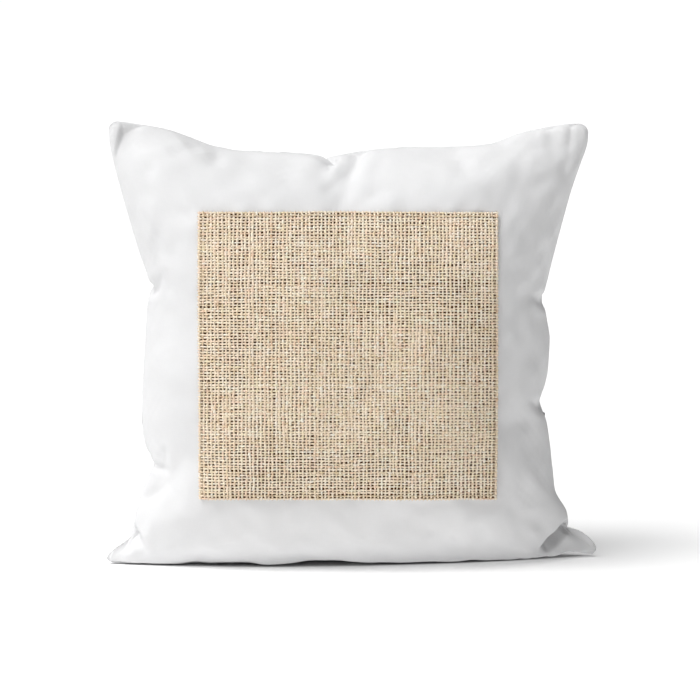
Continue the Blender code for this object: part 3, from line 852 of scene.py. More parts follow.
def tube_object(name, paths, across_way, half_wide, half_thick, sides=6, closed=False):
    """One mesh of tubes along (tubes, rings, xyz) paths, oval across them and rounded at the ends.

    The length along each tube and the turn round it are kept as a UV map.
    """
    paths = np.asarray(paths, float)
    count, rings = paths.shape[:2]
    half_wide = np.broadcast_to(np.asarray(half_wide, float), (count, rings)).copy()
    half_thick = np.broadcast_to(np.asarray(half_thick, float), (count, rings)).copy()
    ahead = np.gradient(paths, axis=1)
    if closed:
        ahead = np.roll(paths, -1, axis=1) - np.roll(paths, 1, axis=1)
    else:
        half_wide[:, [0, -1]] *= 0.5
        half_thick[:, [0, -1]] *= 0.5
    ahead = unit(ahead)
    across_way = np.broadcast_to(across_way, paths.shape)
    wide = unit(across_way - ahead * (across_way * ahead).sum(axis=2, keepdims=True))
    thick = np.cross(ahead, wide)
    angles = np.arange(sides) * 2 * math.pi / sides
    points = (
        paths[:, :, None]
        + wide[:, :, None] * (np.cos(angles)[:, None] * half_wide[:, :, None, None])
        + thick[:, :, None] * (np.sin(angles)[:, None] * half_thick[:, :, None, None])
    ).reshape(-1, 3)
    index = np.arange(count * rings * sides).reshape(count, rings, sides)
    length = np.cumsum(np.linalg.norm(np.diff(paths, axis=1, prepend=paths[:, :1]), axis=2), axis=1)
    flat = np.empty((count, rings, sides, 2))
    flat[..., 0] = (np.arange(sides) / sides)[None, None]
    flat[..., 1] = length[:, :, None]
    flat = flat.reshape(-1, 2)
    caps = None
    if closed:
        index = np.concatenate([index, index[:, :1]], axis=1)
    else:
        first = np.broadcast_to((len(points) + np.arange(count))[:, None], (count, sides))
        points = np.vstack([points, paths[:, 0], paths[:, -1]])
        flat = np.vstack([flat, np.zeros((2 * count, 2))])
        turn = np.roll(index, -1, axis=2)
        caps = [
            np.stack([index[:, 0], turn[:, 0], first], axis=2).reshape(-1, 3),
            np.stack([turn[:, -1], index[:, -1], first + count], axis=2).reshape(-1, 3),
        ]
        caps = np.vstack(caps)[:, ::-1]
    a, b = index[:, :-1], index[:, 1:]
    faces = np.stack([a, b, np.roll(b, -1, axis=2), np.roll(a, -1, axis=2)], axis=3)
    made = new_object(name, points, faces.reshape(-1, 4), caps)
    give_uv(made, flat)
    return made


def stitch_paths(centres, ways, outs, length, rise):
    """One short arched path for each stitch: up out of the cloth, along, and down again."""
    t = np.linspace(-1, 1, 7)
    arch = np.sqrt(np.maximum(0, 1 - t**4)) * 2 - 1
    along = ways[:, None] * (t * length / 2)[None, :, None]
    up = outs[:, None] * (arch * rise)[None, :, None]
    return centres[:, None] + along + up


def stitch_object(name, centres, ways, outs, length, rise, radius):
    paths = stitch_paths(centres, ways, outs, length, rise)
    sideways = np.broadcast_to(np.cross(ways, outs)[:, None], paths.shape)
    return tube_object(name, paths, sideways, radius, radius)


def seam_piece(front, thread):
    line = seam_line(front, 0.6 * MM)
    ways = np.roll(line, -1, axis=0) - np.roll(line, 1, axis=0)
    steps = np.linalg.norm(np.roll(line, -1, axis=0) - line, axis=1)
    total = steps.sum()
    count = int(total / (2.6 * MM))
    where = np.searchsorted(np.cumsum(steps), np.arange(count) * total / count)
    ways = unit(ways[where])
    outs = np.broadcast_to((0.0, -1.0, 0.0), ways.shape)
    made = stitch_object("cover_seam", line[where], ways, outs, 2.2 * MM, 0.10 * MM, 0.12 * MM)
    return dress(made, "white_thread", thread, "cover_seam_thread")


# ---------------------------------------------------------------------------------------------
# The burlap patch: real yarns over and under each other, on a brown backing whose dark colour is painted shade in the
# gaps.


class PatchGround:
    """Where the patch lies: places on it are as the camera's front view shows them."""

    def __init__(self, front):
        even = calm(front, 40)
        self.high = np.minimum(even, front)[:, :, 1]
        self.x = even[:, :, 0]
        self.z = even[:, :, 2]
        self.xs = np.linspace(-90 * MM, 90 * MM, 181)
        self.zs = np.linspace(15 * MM, 200 * MM, 186)
        self.y = self.table()

    def table(self):
        """y of the front on an even grid of x and z."""
        n = len(self.x)
        rows_z = np.array([np.interp(self.xs, self.x[j], self.z[j]) for j in range(n)])
        rows_y = np.array([np.interp(self.xs, self.x[j], self.high[j]) for j in range(n)])
        middle = slice(int(n * 0.12), n)
        out = np.empty((len(self.zs), len(self.xs)))
        for i in range(len(self.xs)):
            out[:, i] = np.interp(self.zs, rows_z[middle, i], rows_y[middle, i])
        return calm(out, 6)

    def depth(self, x, z):
        i = np.clip((x - self.xs[0]) / (self.xs[1] - self.xs[0]), 0, len(self.xs) - 1.001)
        j = np.clip((z - self.zs[0]) / (self.zs[1] - self.zs[0]), 0, len(self.zs) - 1.001)
        i0, j0 = i.astype(int), j.astype(int)
        s, t = i - i0, j - j0
        low = self.y[j0, i0] * (1 - s) + self.y[j0, i0 + 1] * s
        high = self.y[j0 + 1, i0] * (1 - s) + self.y[j0 + 1, i0 + 1] * s
        return low * (1 - t) + high * t

    def place(self, a, b, lift):
        """Points for a across and b up in the front view, lifted off the cover."""
        y = np.full(np.broadcast(a, b).shape, -45 * MM)
        for _ in range(5):
            nearer = 1 + y / CAMERA_DISTANCE
            x = PATCH_X + a * nearer
            z = (PATCH_RISE + b * nearer - y * math.sin(CAMERA_RISE)) / math.cos(CAMERA_RISE)
            y = self.depth(x, z)
        slope_x = (self.depth(x + MM, z) - self.depth(x - MM, z)) / (2 * MM)
        slope_z = (self.depth(x, z + MM) - self.depth(x, z - MM)) / (2 * MM)
        out = np.stack([slope_x, -np.ones_like(slope_x), slope_z], axis=-1)
        return np.stack([x, y, z], axis=-1) + unit(out) * np.asarray(lift)[..., None]


def yarn_noise(rng, yarns, rings, knots, size):
    """Slow wandering along each yarn: (yarns, rings)."""
    marks = rng.standard_normal((yarns, knots)) * size
    grid = np.linspace(0, knots - 1, rings)
    return np.array([np.interp(grid, np.arange(knots), row) for row in marks])


def yarn_sheet(name, ground, count, others, upright, half_wide, seed):
    """All the yarns that run one way, bent over and under the others."""
    rng = np.random.default_rng(seed)
    wide, tall = (PATCH_WIDTH, PATCH_HEIGHT) if upright else (PATCH_HEIGHT, PATCH_WIDTH)
    pitch = wide / count
    rings = 2 * others + 1
    along = np.linspace(-tall / 2, tall / 2, rings)[None].repeat(count, axis=0)
    place = (np.arange(count)[:, None] + 0.5) * pitch - wide / 2
    stray = rng.standard_normal((count, 1)) * 0.05 + yarn_noise(rng, count, rings, 26, 0.06)
    stray += yarn_noise(rng, count, rings, others + 1, 0.05)
    stray[[0, -1]] *= 0.2
    side = place + stray * pitch
    ring = np.arange(rings)[None] - 1
    over = np.cos(math.pi * (ring / 2 + np.arange(count)[:, None] + (0 if upright else 1)))
    slub = 1 + rng.standard_normal((count, 1)) * 0.05 + yarn_noise(rng, count, rings, 30, 0.08)
    slub += yarn_noise(rng, count, rings, others + 1, 0.13)
    slub += 0.16 * wandering(rng, (count, rings), 7)
    slub = np.clip(slub, 0.58, 1.45)
    lift = YARN_LIFT + YARN_WAVE * over * np.clip(slub, 0.8, 1.2)
    a, b = (side, along) if upright else (along, side)
    paths = ground.place(a, b, lift)
    way = np.array((1.0, 0, 0)) if upright else np.array((0, 0, 1.0))
    made = tube_object(
        name, paths, way, half_wide * slub, YARN_HALF_THICK * np.clip(slub, 0.75, 1.15)
    )
    tone = rng.standard_normal((count, 1)) * 0.18 + yarn_noise(rng, count, rings, 24, 0.25)
    tone += yarn_noise(rng, count, rings, others, 0.45)
    hue = rng.standard_normal((count, 1)) * 0.15 + yarn_noise(rng, count, rings, 40, 0.7)
    paint = np.stack([tone, hue], axis=2)[:, :, None].repeat(6, axis=2).reshape(-1, 2)
    paint = np.vstack([paint, np.zeros((len(made.data.vertices) - len(paint), 2))])
    for k, label in enumerate(("tone", "hue")):
        layer = made.data.attributes.new(label, "FLOAT", "POINT")
        layer.data.foreach_set("value", paint[:, k].astype(np.float32))
    return made


def patch_pieces(front, looks):
    ground = PatchGround(front)
    b, a = np.meshgrid(
        np.linspace(-0.5, 0.5, 71) * (PATCH_HEIGHT - 0.8 * MM),
        np.linspace(-0.5, 0.5, 75) * (PATCH_WIDTH - 0.8 * MM),
        indexing="ij",
    )
    # The backing is a real piece; its dark brown makes the gaps between the yarns show painted shade.
    backing = closed_sheet(
        "backing_cloth",
        ground.place(a, b, BACKING_LIFT),
        ground.place(a, b, BACKING_LIFT + BACKING_THICK),
    )
    dress(backing, "brown_backing", looks["backing"], "burlap_backing")
    weft = yarn_sheet(
        "burlap_weft", ground, WEFT_YARNS, WARP_YARNS, False, WEFT_HALF_WIDTH, SEED + 5
    )
    dress(weft, "burlap", looks["burlap"], "burlap_patch")
    warp = yarn_sheet(
        "burlap_warp", ground, WARP_YARNS, WEFT_YARNS, True, WARP_HALF_WIDTH, SEED + 6
    )
    dress(warp, "burlap", looks["burlap"], "burlap_patch")
    stitches = patch_stitches(ground)
    dress(stitches, "jute_thread", looks["jute"], "patch_stitching")
    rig.sheet(backing, flat=PATCH_CUT, held="stretched", rests_on=["cover_front"])
    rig.sheet(
        warp, flat=PATCH_CUT, held="stretched", rests_on=["backing_cloth"],
        with_pieces=[weft, stitches],
    )


def patch_stitches(ground):
    """Fine stitches that hold the patch, one beside each other yarn, just inside its edge."""
    inset = 2.3 * MM
    half_w, half_h = PATCH_WIDTH / 2 - inset, PATCH_HEIGHT / 2 - inset
    across_count, up_count = 52, 50
    step_a, step_b = 2 * half_w / across_count, 2 * half_h / up_count
    a = (np.arange(across_count) + 0.5) * step_a - half_w
    b = (np.arange(up_count) + 0.5) * step_b - half_h
    spots = [(x, -half_h, 1, 0) for x in a] + [(x, half_h, 1, 0) for x in a]
    spots += [(-half_w, z, 0, 1) for z in b] + [(half_w, z, 0, 1) for z in b]
    spots = np.array(spots)
    lift = YARN_LIFT + YARN_WAVE + 0.12 * MM
    here = ground.place(spots[:, 0], spots[:, 1], lift)
    ahead = ground.place(spots[:, 0] + spots[:, 2] * MM, spots[:, 1] + spots[:, 3] * MM, lift)
    out = ground.place(spots[:, 0], spots[:, 1], lift + MM) - here
    ways = unit(ahead - here)
    return stitch_object("patch_stitches", here, ways, unit(out), 2.0 * MM, 0.22 * MM, 0.16 * MM)


def closed_sheet(name, inner, outer):
    """A thin closed sheet between two grids of points."""
    rows, columns = inner.shape[:2]
    count = rows * columns
    index = np.arange(count).reshape(rows, columns)
    faces = [quads(index, True), quads(index + count, False)]
    rim = np.concatenate([index[0, :-1], index[:-1, -1], index[-1, :0:-1], index[:0:-1, 0]])
    ahead = np.roll(rim, -1)
    faces.append(np.stack([rim, ahead, ahead + count, rim + count], axis=1))
    points = np.vstack([inner.reshape(-1, 3), outer.reshape(-1, 3)])
    made = new_object(name, points, np.vstack(faces))
    flat = cut_grid(rows, columns, PATCH_WIDTH, PATCH_HEIGHT).reshape(-1, 2)
    give_uv(made, np.vstack([flat, flat]))
    made.data.set_sharp_from_angle(angle=math.radians(40))
    return made


# ---------------------------------------------------------------------------------------------
# The zip.


def tape_object(name, node, upper):
    """A woven tape: ribs along its length, a thicker cord at the edge beside the coil."""
    low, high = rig.box(node)
    samples = 61
    t = np.linspace(0, 1, samples)
    z = low[2] + (high[2] - low[2]) * t
    to_coil = 1 - t if upper else t
    rib = 0.035 * np.cos(t * 2 * math.pi * 15) - 0.035
    cord = 0.05 * np.exp(-(((to_coil - 0.97) / 0.03) ** 2))
    edge = np.clip(np.minimum(t, 1 - t) / 0.02, 0, 1)
    thick = (high[1] - low[1]) / 2
    half = thick * (0.35 + 0.65 * np.sqrt(1 - (1 - edge) ** 2)) + (rib + cord - 0.05) * MM * edge
    middle = (low[1] + high[1]) / 2
    ring_z = np.concatenate([z, z[::-1]])
    ring_y = np.concatenate([middle + half, middle - half[::-1]])
    x = np.linspace(low[0], high[0], 105)
    points = np.empty((len(x), len(ring_z), 3))
    points[:, :, 0] = x[:, None]
    points[:, :, 1] = ring_y[None] + 0.02 * MM * np.sin(x / (1.1 * MM))[:, None]
    points[:, :, 2] = ring_z[None]
    count = len(ring_z)
    index = np.arange(points.shape[0] * count).reshape(points.shape[0], count)
    index = np.concatenate([index, index[:, :1]], axis=1)
    faces = quads(index, False)
    caps = [
        (row[k], row[k + 1], row[count - 2 - k], row[count - 1 - k])
        for row in (index[0], index[-1]) for k in range(samples - 1)
    ]
    made = new_object(name, points.reshape(-1, 3), np.vstack([faces, np.array(caps)]))
    flat = np.stack([points[:, :, 0], np.broadcast_to(ring_z, points.shape[:2])], axis=2)
    give_uv(made, flat.reshape(-1, 2))
    recalculate(made)
    return made


def recalculate(made):
    """Turns the faces so that they all point out."""
    work = bmesh.new()
    work.from_mesh(made.data)
    bmesh.ops.recalc_face_normals(work, faces=work.faces)
    work.to_mesh(made.data)
    work.free()


def coil_object(name, node):
    """A nylon coil: one bristle wound into flat loops."""
    low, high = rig.box(node)
    wire = 0.26 * MM
    pitch = 1.25 * MM
    turns = int((high[0] - low[0] - 2 * wire) / pitch)
    steps = 16
    t = np.arange(turns * steps + 1) / steps
    turn = 2 * math.pi * t
    x = low[0] + wire + t * (high[0] - low[0] - 2 * wire) / turns
    half_z, half_y = (high[2] - low[2]) / 2 - wire, (high[1] - low[1]) / 2 - wire
    square = 0.75
    z = (low[2] + high[2]) / 2 + half_z * np.sign(np.cos(turn)) * np.abs(np.cos(turn)) ** square
    y = (low[1] + high[1]) / 2 + half_y * np.sign(np.sin(turn)) * np.abs(np.sin(turn)) ** square
    path = np.stack([x, y, z], axis=1)[None]
    return tube_object(name, path, np.array((1.0, 0, 0)), wire, wire)


def zip_stitches(name, node):
    """The row of topstitching along one tape."""
    low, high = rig.box(node)
    pitch = 2.6 * MM
    count = int((high[0] - low[0]) / pitch)
    x = low[0] + (np.arange(count) + 0.5) * (high[0] - low[0]) / count
    y, z = ZIP_FACE + 0.05 * MM, (low[2] + high[2]) / 2
    centres = np.stack([x, np.full(count, y), np.full(count, z)], axis=1)
    ways = np.broadcast_to((1.0, 0.0, 0.0), centres.shape)
    outs = np.broadcast_to((0.0, 1.0, 0.0), centres.shape)
    return stitch_object(name, centres, ways, outs, 2.2 * MM, 0.20 * MM, 0.17 * MM)


def tack_object(name, node):
    """A bar tack: close zigzag stitches over the end of the zip."""
    low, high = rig.box(node)
    lines = 44
    z = np.linspace(low[2] + 0.2 * MM, high[2] - 0.2 * MM, lines)
    y = ZIP_FACE + 0.30 * MM
    slant = np.where(np.arange(lines) % 2, 1.0, -1.0) * 0.14 * MM
    centres = np.stack([np.full(lines, (low[0] + high[0]) / 2), np.full(lines, y), z], axis=1)
    ways = np.stack([np.full(lines, 1.0), np.zeros(lines), slant / MM], axis=1)
    outs = np.broadcast_to((0.0, 1.0, 0.0), centres.shape)
    wide = (high[0] - low[0]) * 0.92
    return stitch_object(name, centres, unit(ways), outs, wide, 0.16 * MM, 0.15 * MM)


def zip_pieces(looks):
    for end in ("upper", "lower"):
        tape = tape_object(f"tape_{end}", f"zip_tape_{end}", end == "upper")
        dress(tape, "zip_tape", looks["tape"], f"zip_tape_{end}")
        low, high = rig.box(f"zip_tape_{end}")
        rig.sheet(
            tape, flat=(high[0] - low[0], high[2] - low[2]), held="stretched",
            rests_on=[f"cover_back_{end}"],
        )
        coil = coil_object(f"coil_{end}", f"zip_coil_{end}")
        dress(coil, "zip_coil", looks["coil"], f"zip_coil_{end}")
        rows = zip_stitches(f"stitches_{end}", f"zip_stitching_{end}")
        dress(rows, "white_thread", looks["thread"], f"zip_stitching_{end}")
    for side in ("left", "right"):
        tack = tack_object(f"bar_tack_{side}", f"zip_bar_tack_{side}")
        dress(tack, "white_thread", looks["thread"], f"zip_bar_tack_{side}")
    for node in METAL_NODES:
        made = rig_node(node)
        made.data.materials.clear()
        made.data.materials.append(looks["metal"])


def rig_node(name):
    """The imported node's own object."""
    return next(o for o in bpy.data.objects if o.get("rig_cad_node") == name)


# ---------------------------------------------------------------------------------------------
# The insert: two shells, their seam and the fibre inside.


def shrunk(surface, shares):
    """A surface drawn in towards the pillow's middle, and further at its corners."""
    middle = np.array(INSERT_MIDDLE)
    out = middle + (surface - middle) * np.array(shares)
    for corner in (surface[0, 0], surface[0, -1], surface[-1, 0], surface[-1, -1]):
        inward = unit((middle - corner) * (1, 0, 1))
        beside = np.linalg.norm((surface - corner) * (1, 0, 1), axis=2)
        out += inward * CORNER_DRAW * np.exp(-((beside / CORNER_REACH) ** 2))[:, :, None]
    return out


def insert_pieces(front, back, looks):
    front, back = calm(front, 6), calm(back, 6)
    n = front.shape[0]
    shells = [shrunk(s, INSERT_SHARES) for s in (front, back)]
    for name, surface, side, node in (
        ("insert_front", shells[0], -1, "insert_front_shell"),
        ("insert_back", shells[1], 1, "insert_back_shell"),
    ):
        made = grid_object(name, surface, side, cut_grid(n, n))
        dress(made, "insert_cloth", looks["insert"], node)
        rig.padded(made, fill=0.85)
    line = seam_line(shells[0], 0.8 * MM)[None]
    seam = tube_object("insert_seam", line, np.array((0, 1.0, 0)), 0.25 * MM, 0.25 * MM, closed=True)
    dress(seam, "white_thread", looks["thread"], "insert_seam_thread")
    rng = np.random.default_rng(SEED + 9)
    cores = []
    for side, surface in ((-1, front), (1, back)):
        core = shrunk(surface, FILLING_SHARES)
        lumps = wandering(rng, core.shape[:2], 18) * 0.9 * MM
        lumps[[0, -1]] = 0
        lumps[:, [0, -1]] = 0
        cores.append(core - normals(core, side) * np.abs(lumps)[:, :, None])
    front_index, back_index = sewn_indices()
    points = np.empty((back_index.max() + 1, 3))
    points[back_index] = cores[1]
    points[front_index] = cores[0]
    faces = np.vstack([quads(front_index, False), quads(back_index, True)])
    filling = new_object("filling", points, faces)
    give_uv(filling, points[:, [0, 2]])
    dress(filling, "polyester_fibre", looks["fibre"], "fibre_filling")
    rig.padded(filling, fill=0.8)


# ---------------------------------------------------------------------------------------------
# Materials.


class Look:
    """A node material: a Principled shader, with short ways to add what feeds it."""

    def __init__(self, name, colour, roughness, **values):
        self.made = bpy.data.materials.new(name)
        self.made.use_nodes = True
        self.tree = self.made.node_tree
        self.shader = self.tree.nodes["Principled BSDF"]
        self.shader.inputs["Base Color"].default_value = (*colour, 1)
        self.shader.inputs["Roughness"].default_value = roughness
        for key, value in values.items():
            self.shader.inputs[key.replace("_", " ")].default_value = value

    def node(self, kind, **inputs):
        made = self.tree.nodes.new(kind)
        for key, value in inputs.items():
            self.feed(made, key.replace("_", " "), value)
        return made

    def feed(self, node, socket, value):
        numbered = socket[0] == "i" and socket[1:].isdigit()
        spot = node.inputs[int(socket[1:]) if numbered else socket]
        if isinstance(value, bpy.types.NodeSocket):
            self.tree.links.new(value, spot)
        else:
            spot.default_value = value

    def math(self, what, a, b=0.0):
        made = self.node("ShaderNodeMath", i0=a, i1=b)
        made.operation = what
        return made.outputs[0]

    def scaled(self, value, by, plus):
        return self.math("ADD", self.math("MULTIPLY", value, by), plus)

    def twist(self, where, pitch):
        """Waves that wind round a yarn, -1 to 1, one each pitch of its length."""
        parts = self.node("ShaderNodeSeparateXYZ", Vector=where)
        turn = self.math("MULTIPLY", parts.outputs[0], 2 * math.pi * 2)
        along = self.math("MULTIPLY", parts.outputs[1], 2 * math.pi / pitch)
        return self.math("SINE", self.math("ADD", turn, along))

    def place(self, uv=None):
        """Object coordinates, or the named UV map's."""
        if uv is None:
            return self.node("ShaderNodeTexCoord").outputs["Object"]
        made = self.node("ShaderNodeUVMap")
        made.uv_map = uv
        return made.outputs["UV"]

    def attribute(self, name):
        made = self.node("ShaderNodeAttribute")
        made.attribute_name = name
        return made.outputs["Fac"]

    def noise(self, where, scale, detail=3.0, roughness=0.5):
        return self.node(
            "ShaderNodeTexNoise", Vector=where, Scale=scale, Detail=detail, Roughness=roughness
        ).outputs["Fac"]

    def stretched(self, where, scale):
        return self.node("ShaderNodeMapping", Vector=where, Scale=scale).outputs[0]

    def ramp(self, factor, *stops):
        made = self.node("ShaderNodeValToRGB", Fac=factor)
        ramp = made.color_ramp
        while len(ramp.elements) < len(stops):
            ramp.elements.new(0.5)
        for element, (place, colour) in zip(ramp.elements, stops):
            element.position = place
            element.color = (*colour, 1)
        return made.outputs[0]

    def mix(self, kind, factor, a, b):
        made = self.tree.nodes.new("ShaderNodeMix")
        made.data_type = "RGBA"
        made.blend_type = kind
        for spot, value in ((0, factor), (6, a), (7, b)):
            if isinstance(value, bpy.types.NodeSocket):
                self.tree.links.new(value, made.inputs[spot])
            else:
                made.inputs[spot].default_value = value if spot == 0 else (*value, 1)
        return made.outputs[2]

    def weave(self, where, pitch_u, pitch_v):
        """A plain weave's height, 0 to 1, from a place in metres."""
        parts = self.node("ShaderNodeSeparateXYZ", Vector=where)
        u = self.math("MULTIPLY", parts.outputs[0], math.pi / pitch_u)
        v = self.math("MULTIPLY", parts.outputs[1], math.pi / pitch_v)
        warp = self.math("ABSOLUTE", self.math("SINE", u))
        weft = self.math("ABSOLUTE", self.math("SINE", v))
        over = self.math("MULTIPLY", self.math("SINE", u), self.math("SINE", v))
        high = self.math("GREATER_THAN", over, 0.0)
        low = self.math("SUBTRACT", 1.0, high)
        return self.math("ADD", self.math("MULTIPLY", warp, high), self.math("MULTIPLY", weft, low))

    def bump(self, height, strength, distance, under=None):
        made = self.node("ShaderNodeBump", Strength=strength, Distance=distance, Height=height)
        if under is not None:
            self.tree.links.new(under, made.inputs["Normal"])
        return made.outputs[0]

    def use(self, **sockets):
        for key, value in sockets.items():
            self.feed(self.shader, key.replace("_", " "), value)
        return self.made


def cotton(name, light, shade, pitch, roughness=0.9):
    """Plain white cotton: a fine weave with soft uneven threads."""
    look = Look(name, light, roughness, Sheen_Weight=0.12, Specular_IOR_Level=0.25)
    where = look.place("cut")
    colour = look.ramp(look.noise(look.place(), 30.0, 4.0), (0.3, shade), (0.7, light))
    threads = look.noise(look.stretched(where, (2600, 180, 1)), 1.0, 2.0)
    other = look.noise(look.stretched(where, (180, 2600, 1)), 1.0, 2.0)
    colour = look.mix("MULTIPLY", 0.06, colour, look.ramp(threads, (0.2, (0.6,) * 3), (0.8, (1,) * 3)))
    colour = look.mix("MULTIPLY", 0.06, colour, look.ramp(other, (0.2, (0.6,) * 3), (0.8, (1,) * 3)))
    fine = look.bump(look.weave(where, pitch, pitch), 0.25, 0.00006)
    soft = look.bump(look.noise(look.place(), 260.0, 4.0), 0.18, 0.0004, fine)
    rough = look.scaled(threads, 0.08, roughness - 0.04)
    return look.use(Base_Color=colour, Normal=soft, Roughness=rough)


def burlap_look():
    """Jute yarn: cream to straw, its fibres twisted and uneven."""
    look = Look("burlap_yarn", (0.7, 0.55, 0.36), 0.85, Specular_IOR_Level=0.12)
    where = look.place("cut")
    tone = look.scaled(look.attribute("tone"), 0.32, 0.64)
    fibre = look.noise(look.stretched(where, (5, 900, 1)), 1.0, 4.0, 0.6)
    tone = look.math("ADD", tone, look.math("MULTIPLY", look.math("SUBTRACT", fibre, 0.5), 0.9))
    colour = look.ramp(
        tone, (0.0, JUTE_DARK), (0.35, JUTE_MIDDLE), (0.7, JUTE_LIGHT), (1.0, JUTE_PALE)
    )
    hue = look.scaled(look.attribute("hue"), 0.3, 0.5)
    tint = look.ramp(hue, (0.0, JUTE_PINK), (0.5, (1, 1, 1)), (1.0, JUTE_OLIVE))
    colour = look.mix("MULTIPLY", 0.75, colour, tint)
    twist = look.twist(where, 0.9 * MM)
    strands = look.bump(look.scaled(twist, 0.5, fibre), 0.5, 0.00008)
    rough = look.scaled(fibre, 0.2, 0.75)
    return look.use(Base_Color=colour, Normal=strands, Roughness=rough)


def thread_look(name, light, shade, roughness=0.6):
    """Twisted sewing thread."""
    look = Look(name, light, roughness, Sheen_Weight=0.1)
    twist = look.scaled(look.twist(look.place("cut"), 0.5 * MM), 0.5, 0.5)
    # The colour follows the twist: the shade colour in its grooves and the light colour on its ridges, painted shade.
    colour = look.ramp(twist, (0.0, shade), (1.0, light))
    rough = look.scaled(twist, -0.1, roughness)
    return look.use(Base_Color=colour, Normal=look.bump(twist, 0.4, 0.00004), Roughness=rough)


def backing_shade_look():
    """Brown felt behind the open weave, made dark as painted shade for the gaps between the yarns."""
    look = Look("brown_backing", GAP_SHADE_BROWN, 0.95, Specular_IOR_Level=0.0)
    where = look.place()
    patches = look.noise(where, 90.0, 4.0)
    colour = look.ramp(patches, (0.25, GAP_SHADE_DARK), (0.75, GAP_SHADE_BROWN))
    fuzz = look.noise(where, 2500.0, 3.0)
    colour = look.mix("MULTIPLY", 0.4, colour, look.ramp(fuzz, (0.2, (0.5,) * 3), (0.8, (1,) * 3)))
    return look.use(Base_Color=colour, Normal=look.bump(fuzz, 0.4, 0.0002))


def tape_look():
    """White polyester tape in a herringbone weave."""
    look = Look("zip_tape", (0.8, 0.8, 0.8), 0.75, Specular_IOR_Level=0.3)
    where = look.place("cut")
    parts = look.node("ShaderNodeSeparateXYZ", Vector=where)
    rib = look.math("PINGPONG", parts.outputs[1], 0.8 * MM)
    lean = look.math("ADD", parts.outputs[0], rib)
    bone = look.math("SINE", look.math("MULTIPLY", lean, 2 * math.pi / (0.55 * MM)))
    bone = look.scaled(bone, 0.5, 0.5)
    # Darker in the weave's grooves and lighter on its ribs: painted shade.
    colour = look.ramp(bone, (0.0, (0.66, 0.66, 0.66)), (1.0, (0.84, 0.84, 0.83)))
    return look.use(Base_Color=colour, Normal=look.bump(bone, 0.5, 0.00008))


def coil_look():
    """Milky nylon bristle."""
    look = Look("zip_coil", (0.85, 0.85, 0.84), 0.35, Specular_IOR_Level=0.5)
    shade = look.noise(look.place(), 900.0, 2.0)
    colour = look.ramp(shade, (0.3, (0.76, 0.76, 0.75)), (0.7, (0.88, 0.88, 0.87)))
    return look.use(Base_Color=colour, Roughness=look.scaled(shade, 0.2, 0.25))


def metal_look():
    """Nickel-plated zinc: tumbled smooth, with fine rubbing marks."""
    look = Look("zip_metal", (0.72, 0.71, 0.69), 0.28, Metallic=1.0)
    where = look.place()
    marks = look.noise(look.stretched(where, (300, 3000, 3000)), 1.0, 5.0, 0.6)
    worn = look.noise(where, 500.0, 4.0)
    colour = look.ramp(worn, (0.3, (0.60, 0.59, 0.57)), (0.75, (0.80, 0.79, 0.77)))
    rough = look.scaled(marks, 0.25, 0.16)
    return look.use(Base_Color=colour, Roughness=rough, Normal=look.bump(marks, 0.12, 0.00004))


def fibre_look():
    """Polyester fibre: white, matted and soft."""
    look = Look("polyester_fibre", (0.85, 0.85, 0.86), 0.9, Sheen_Weight=0.3)
    hairs = look.noise(look.stretched(look.place(), (500, 500, 2200)), 1.0, 6.0, 0.7)
    colour = look.ramp(hairs, (0.25, (0.7, 0.7, 0.71)), (0.7, (0.9, 0.9, 0.91)))
    return look.use(Base_Color=colour, Normal=look.bump(hairs, 0.6, 0.0006))


# ---------------------------------------------------------------------------------------------
# The studio.


def add_camera():
    lens = SENSOR * CAMERA_DISTANCE / VIEW_WIDTH
    data = bpy.data.cameras.new("camera")
    data.sensor_width = SENSOR
    data.lens = lens
    made = bpy.data.objects.new("camera", data)
    back = Vector((0, -math.cos(CAMERA_RISE), math.sin(CAMERA_RISE)))
    made.location = CAMERA_TARGET + back * CAMERA_DISTANCE
    made.rotation_euler = (math.pi / 2 - CAMERA_RISE, 0, 0)
    bpy.context.scene.collection.objects.link(made)
    bpy.context.scene.camera = made


def add_sun(name, come_from, spread, strength):
    """Even light from one side, as from a large lamp far away; spread is its width in degrees."""
    data = bpy.data.lights.new(name, "SUN")
    data.angle = math.radians(spread)
    data.energy = strength
    made = bpy.data.objects.new(name, data)
    made.location = Vector(come_from).normalized() * 2
    made.rotation_euler = Vector(come_from).to_track_quat("Z", "Y").to_euler()
    bpy.context.scene.collection.objects.link(made)


def add_world():
    """A white room: soft light from all round, and white where nothing stands."""
    world = bpy.data.worlds.new("room")
    bpy.context.scene.world = world
    world.use_nodes = True
    tree = world.node_tree
    seen = tree.nodes["Background"]
    seen.inputs["Color"].default_value = (1, 1, 1, 1)
    seen.inputs["Strength"].default_value = ROOM_SEEN
    light = tree.nodes.new("ShaderNodeBackground")
    light.inputs["Color"].default_value = (*ROOM_COLOUR, 1)
    light.inputs["Strength"].default_value = ROOM_LIGHT
    ray = tree.nodes.new("ShaderNodeLightPath")
    mix = tree.nodes.new("ShaderNodeMixShader")
    tree.links.new(ray.outputs["Is Camera Ray"], mix.inputs[0])
    tree.links.new(light.outputs[0], mix.inputs[1])
    tree.links.new(seen.outputs[0], mix.inputs[2])
    tree.links.new(mix.outputs[0], tree.nodes["World Output"].inputs[0])


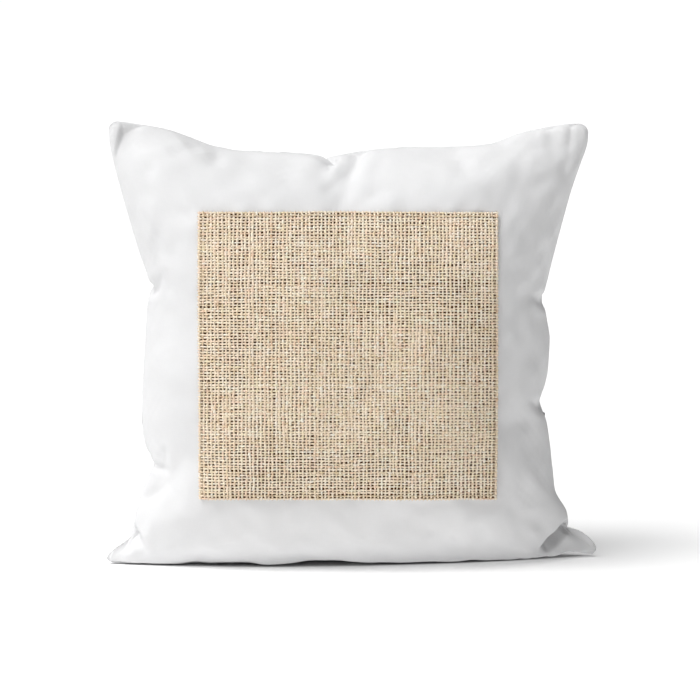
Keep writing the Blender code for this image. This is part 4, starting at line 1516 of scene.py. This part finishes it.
def add_floor():
    """A white floor that glows a little, except in an oval under the pillow's foot, where it stays dark as a painted
    contact shadow.
    """
    points = np.array([(-40, -40, 0), (40, -40, 0), (40, 40, 0), (-40, 40, 0)], float)
    floor = new_object("floor", points, np.array([[0, 1, 2, 3]]))
    look = Look("floor_white", (0.86, 0.86, 0.86), 0.9, Specular_IOR_Level=0.0)
    look.shader.inputs["Emission Color"].default_value = (1, 1, 1, 1)
    parts = look.node("ShaderNodeSeparateXYZ", Vector=look.place())
    # An oval under the pillow gets no glow: a painted contact shadow.
    wide = look.math("ABSOLUTE", look.math("DIVIDE", parts.outputs[0], SHADOW_OVAL_HALF_WIDTH))
    wide = look.math("POWER", wide, SHADOW_OVAL_ROUNDNESS)
    deep = look.math("SUBTRACT", parts.outputs[1], SHADOW_OVAL_MIDDLE)
    deep = look.math("SUBTRACT", deep, look.math("MULTIPLY", parts.outputs[0], SHADOW_OVAL_SLANT))
    deep = look.math("ABSOLUTE", look.math("DIVIDE", deep, SHADOW_OVAL_HALF_DEPTH))
    glow_outside_shadow = look.node("ShaderNodeMapRange", Value=look.math("ADD", wide, deep))
    glow_outside_shadow.inputs["From Min"].default_value, glow_outside_shadow.inputs["From Max"].default_value = SHADOW_OVAL_FADE
    glow_outside_shadow.inputs["To Max"].default_value = FLOOR_GLOW
    speckle = look.noise(look.place(), 6.0, 2.0)
    colour = look.ramp(speckle, (0.3, (0.855, 0.855, 0.855)), (0.7, (0.865, 0.865, 0.865)))
    glow = glow_outside_shadow.outputs["Result"]
    floor.data.materials.append(look.use(Base_Color=colour, Emission_Strength=glow))
    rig.stage(floor)


def add_studio():
    add_camera()
    add_world()
    add_floor()
    for name, come_from, spread, strength in LAMPS:
        add_sun(name, come_from, spread, strength)
    bpy.context.scene.view_settings.view_transform = "Standard"


def main():
    add_studio()
    looks = {
        "cloth": cotton("cover_cotton", COTTON_LIGHT, COTTON_SHADE, 0.45 * MM),
        "insert": cotton("insert_cotton", (0.78, 0.78, 0.77), (0.72, 0.72, 0.71), 0.6 * MM),
        "burlap": burlap_look(),
        "backing": backing_shade_look(),
        "jute": thread_look("jute_thread", (0.74, 0.60, 0.42), (0.50, 0.38, 0.24)),
        "thread": thread_look("white_thread", (0.88, 0.88, 0.88), (0.66, 0.66, 0.66)),
        "tape": tape_look(),
        "coil": coil_look(),
        "metal": metal_look(),
        "fibre": fibre_look(),
    }
    front, back, coarse_front, coarse_back = cover_faces()
    cover_pieces(front, back, looks["cloth"])
    seam_piece(front, looks["thread"])
    patch_pieces(front, looks)
    zip_pieces(looks)
    insert_pieces(coarse_front, coarse_back, looks)
    with open("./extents.json", "w") as out:
        json.dump({"cad": [list(v) for v in CAD_BOX], "visual": [list(v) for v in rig.bounds()]}, out)


main()
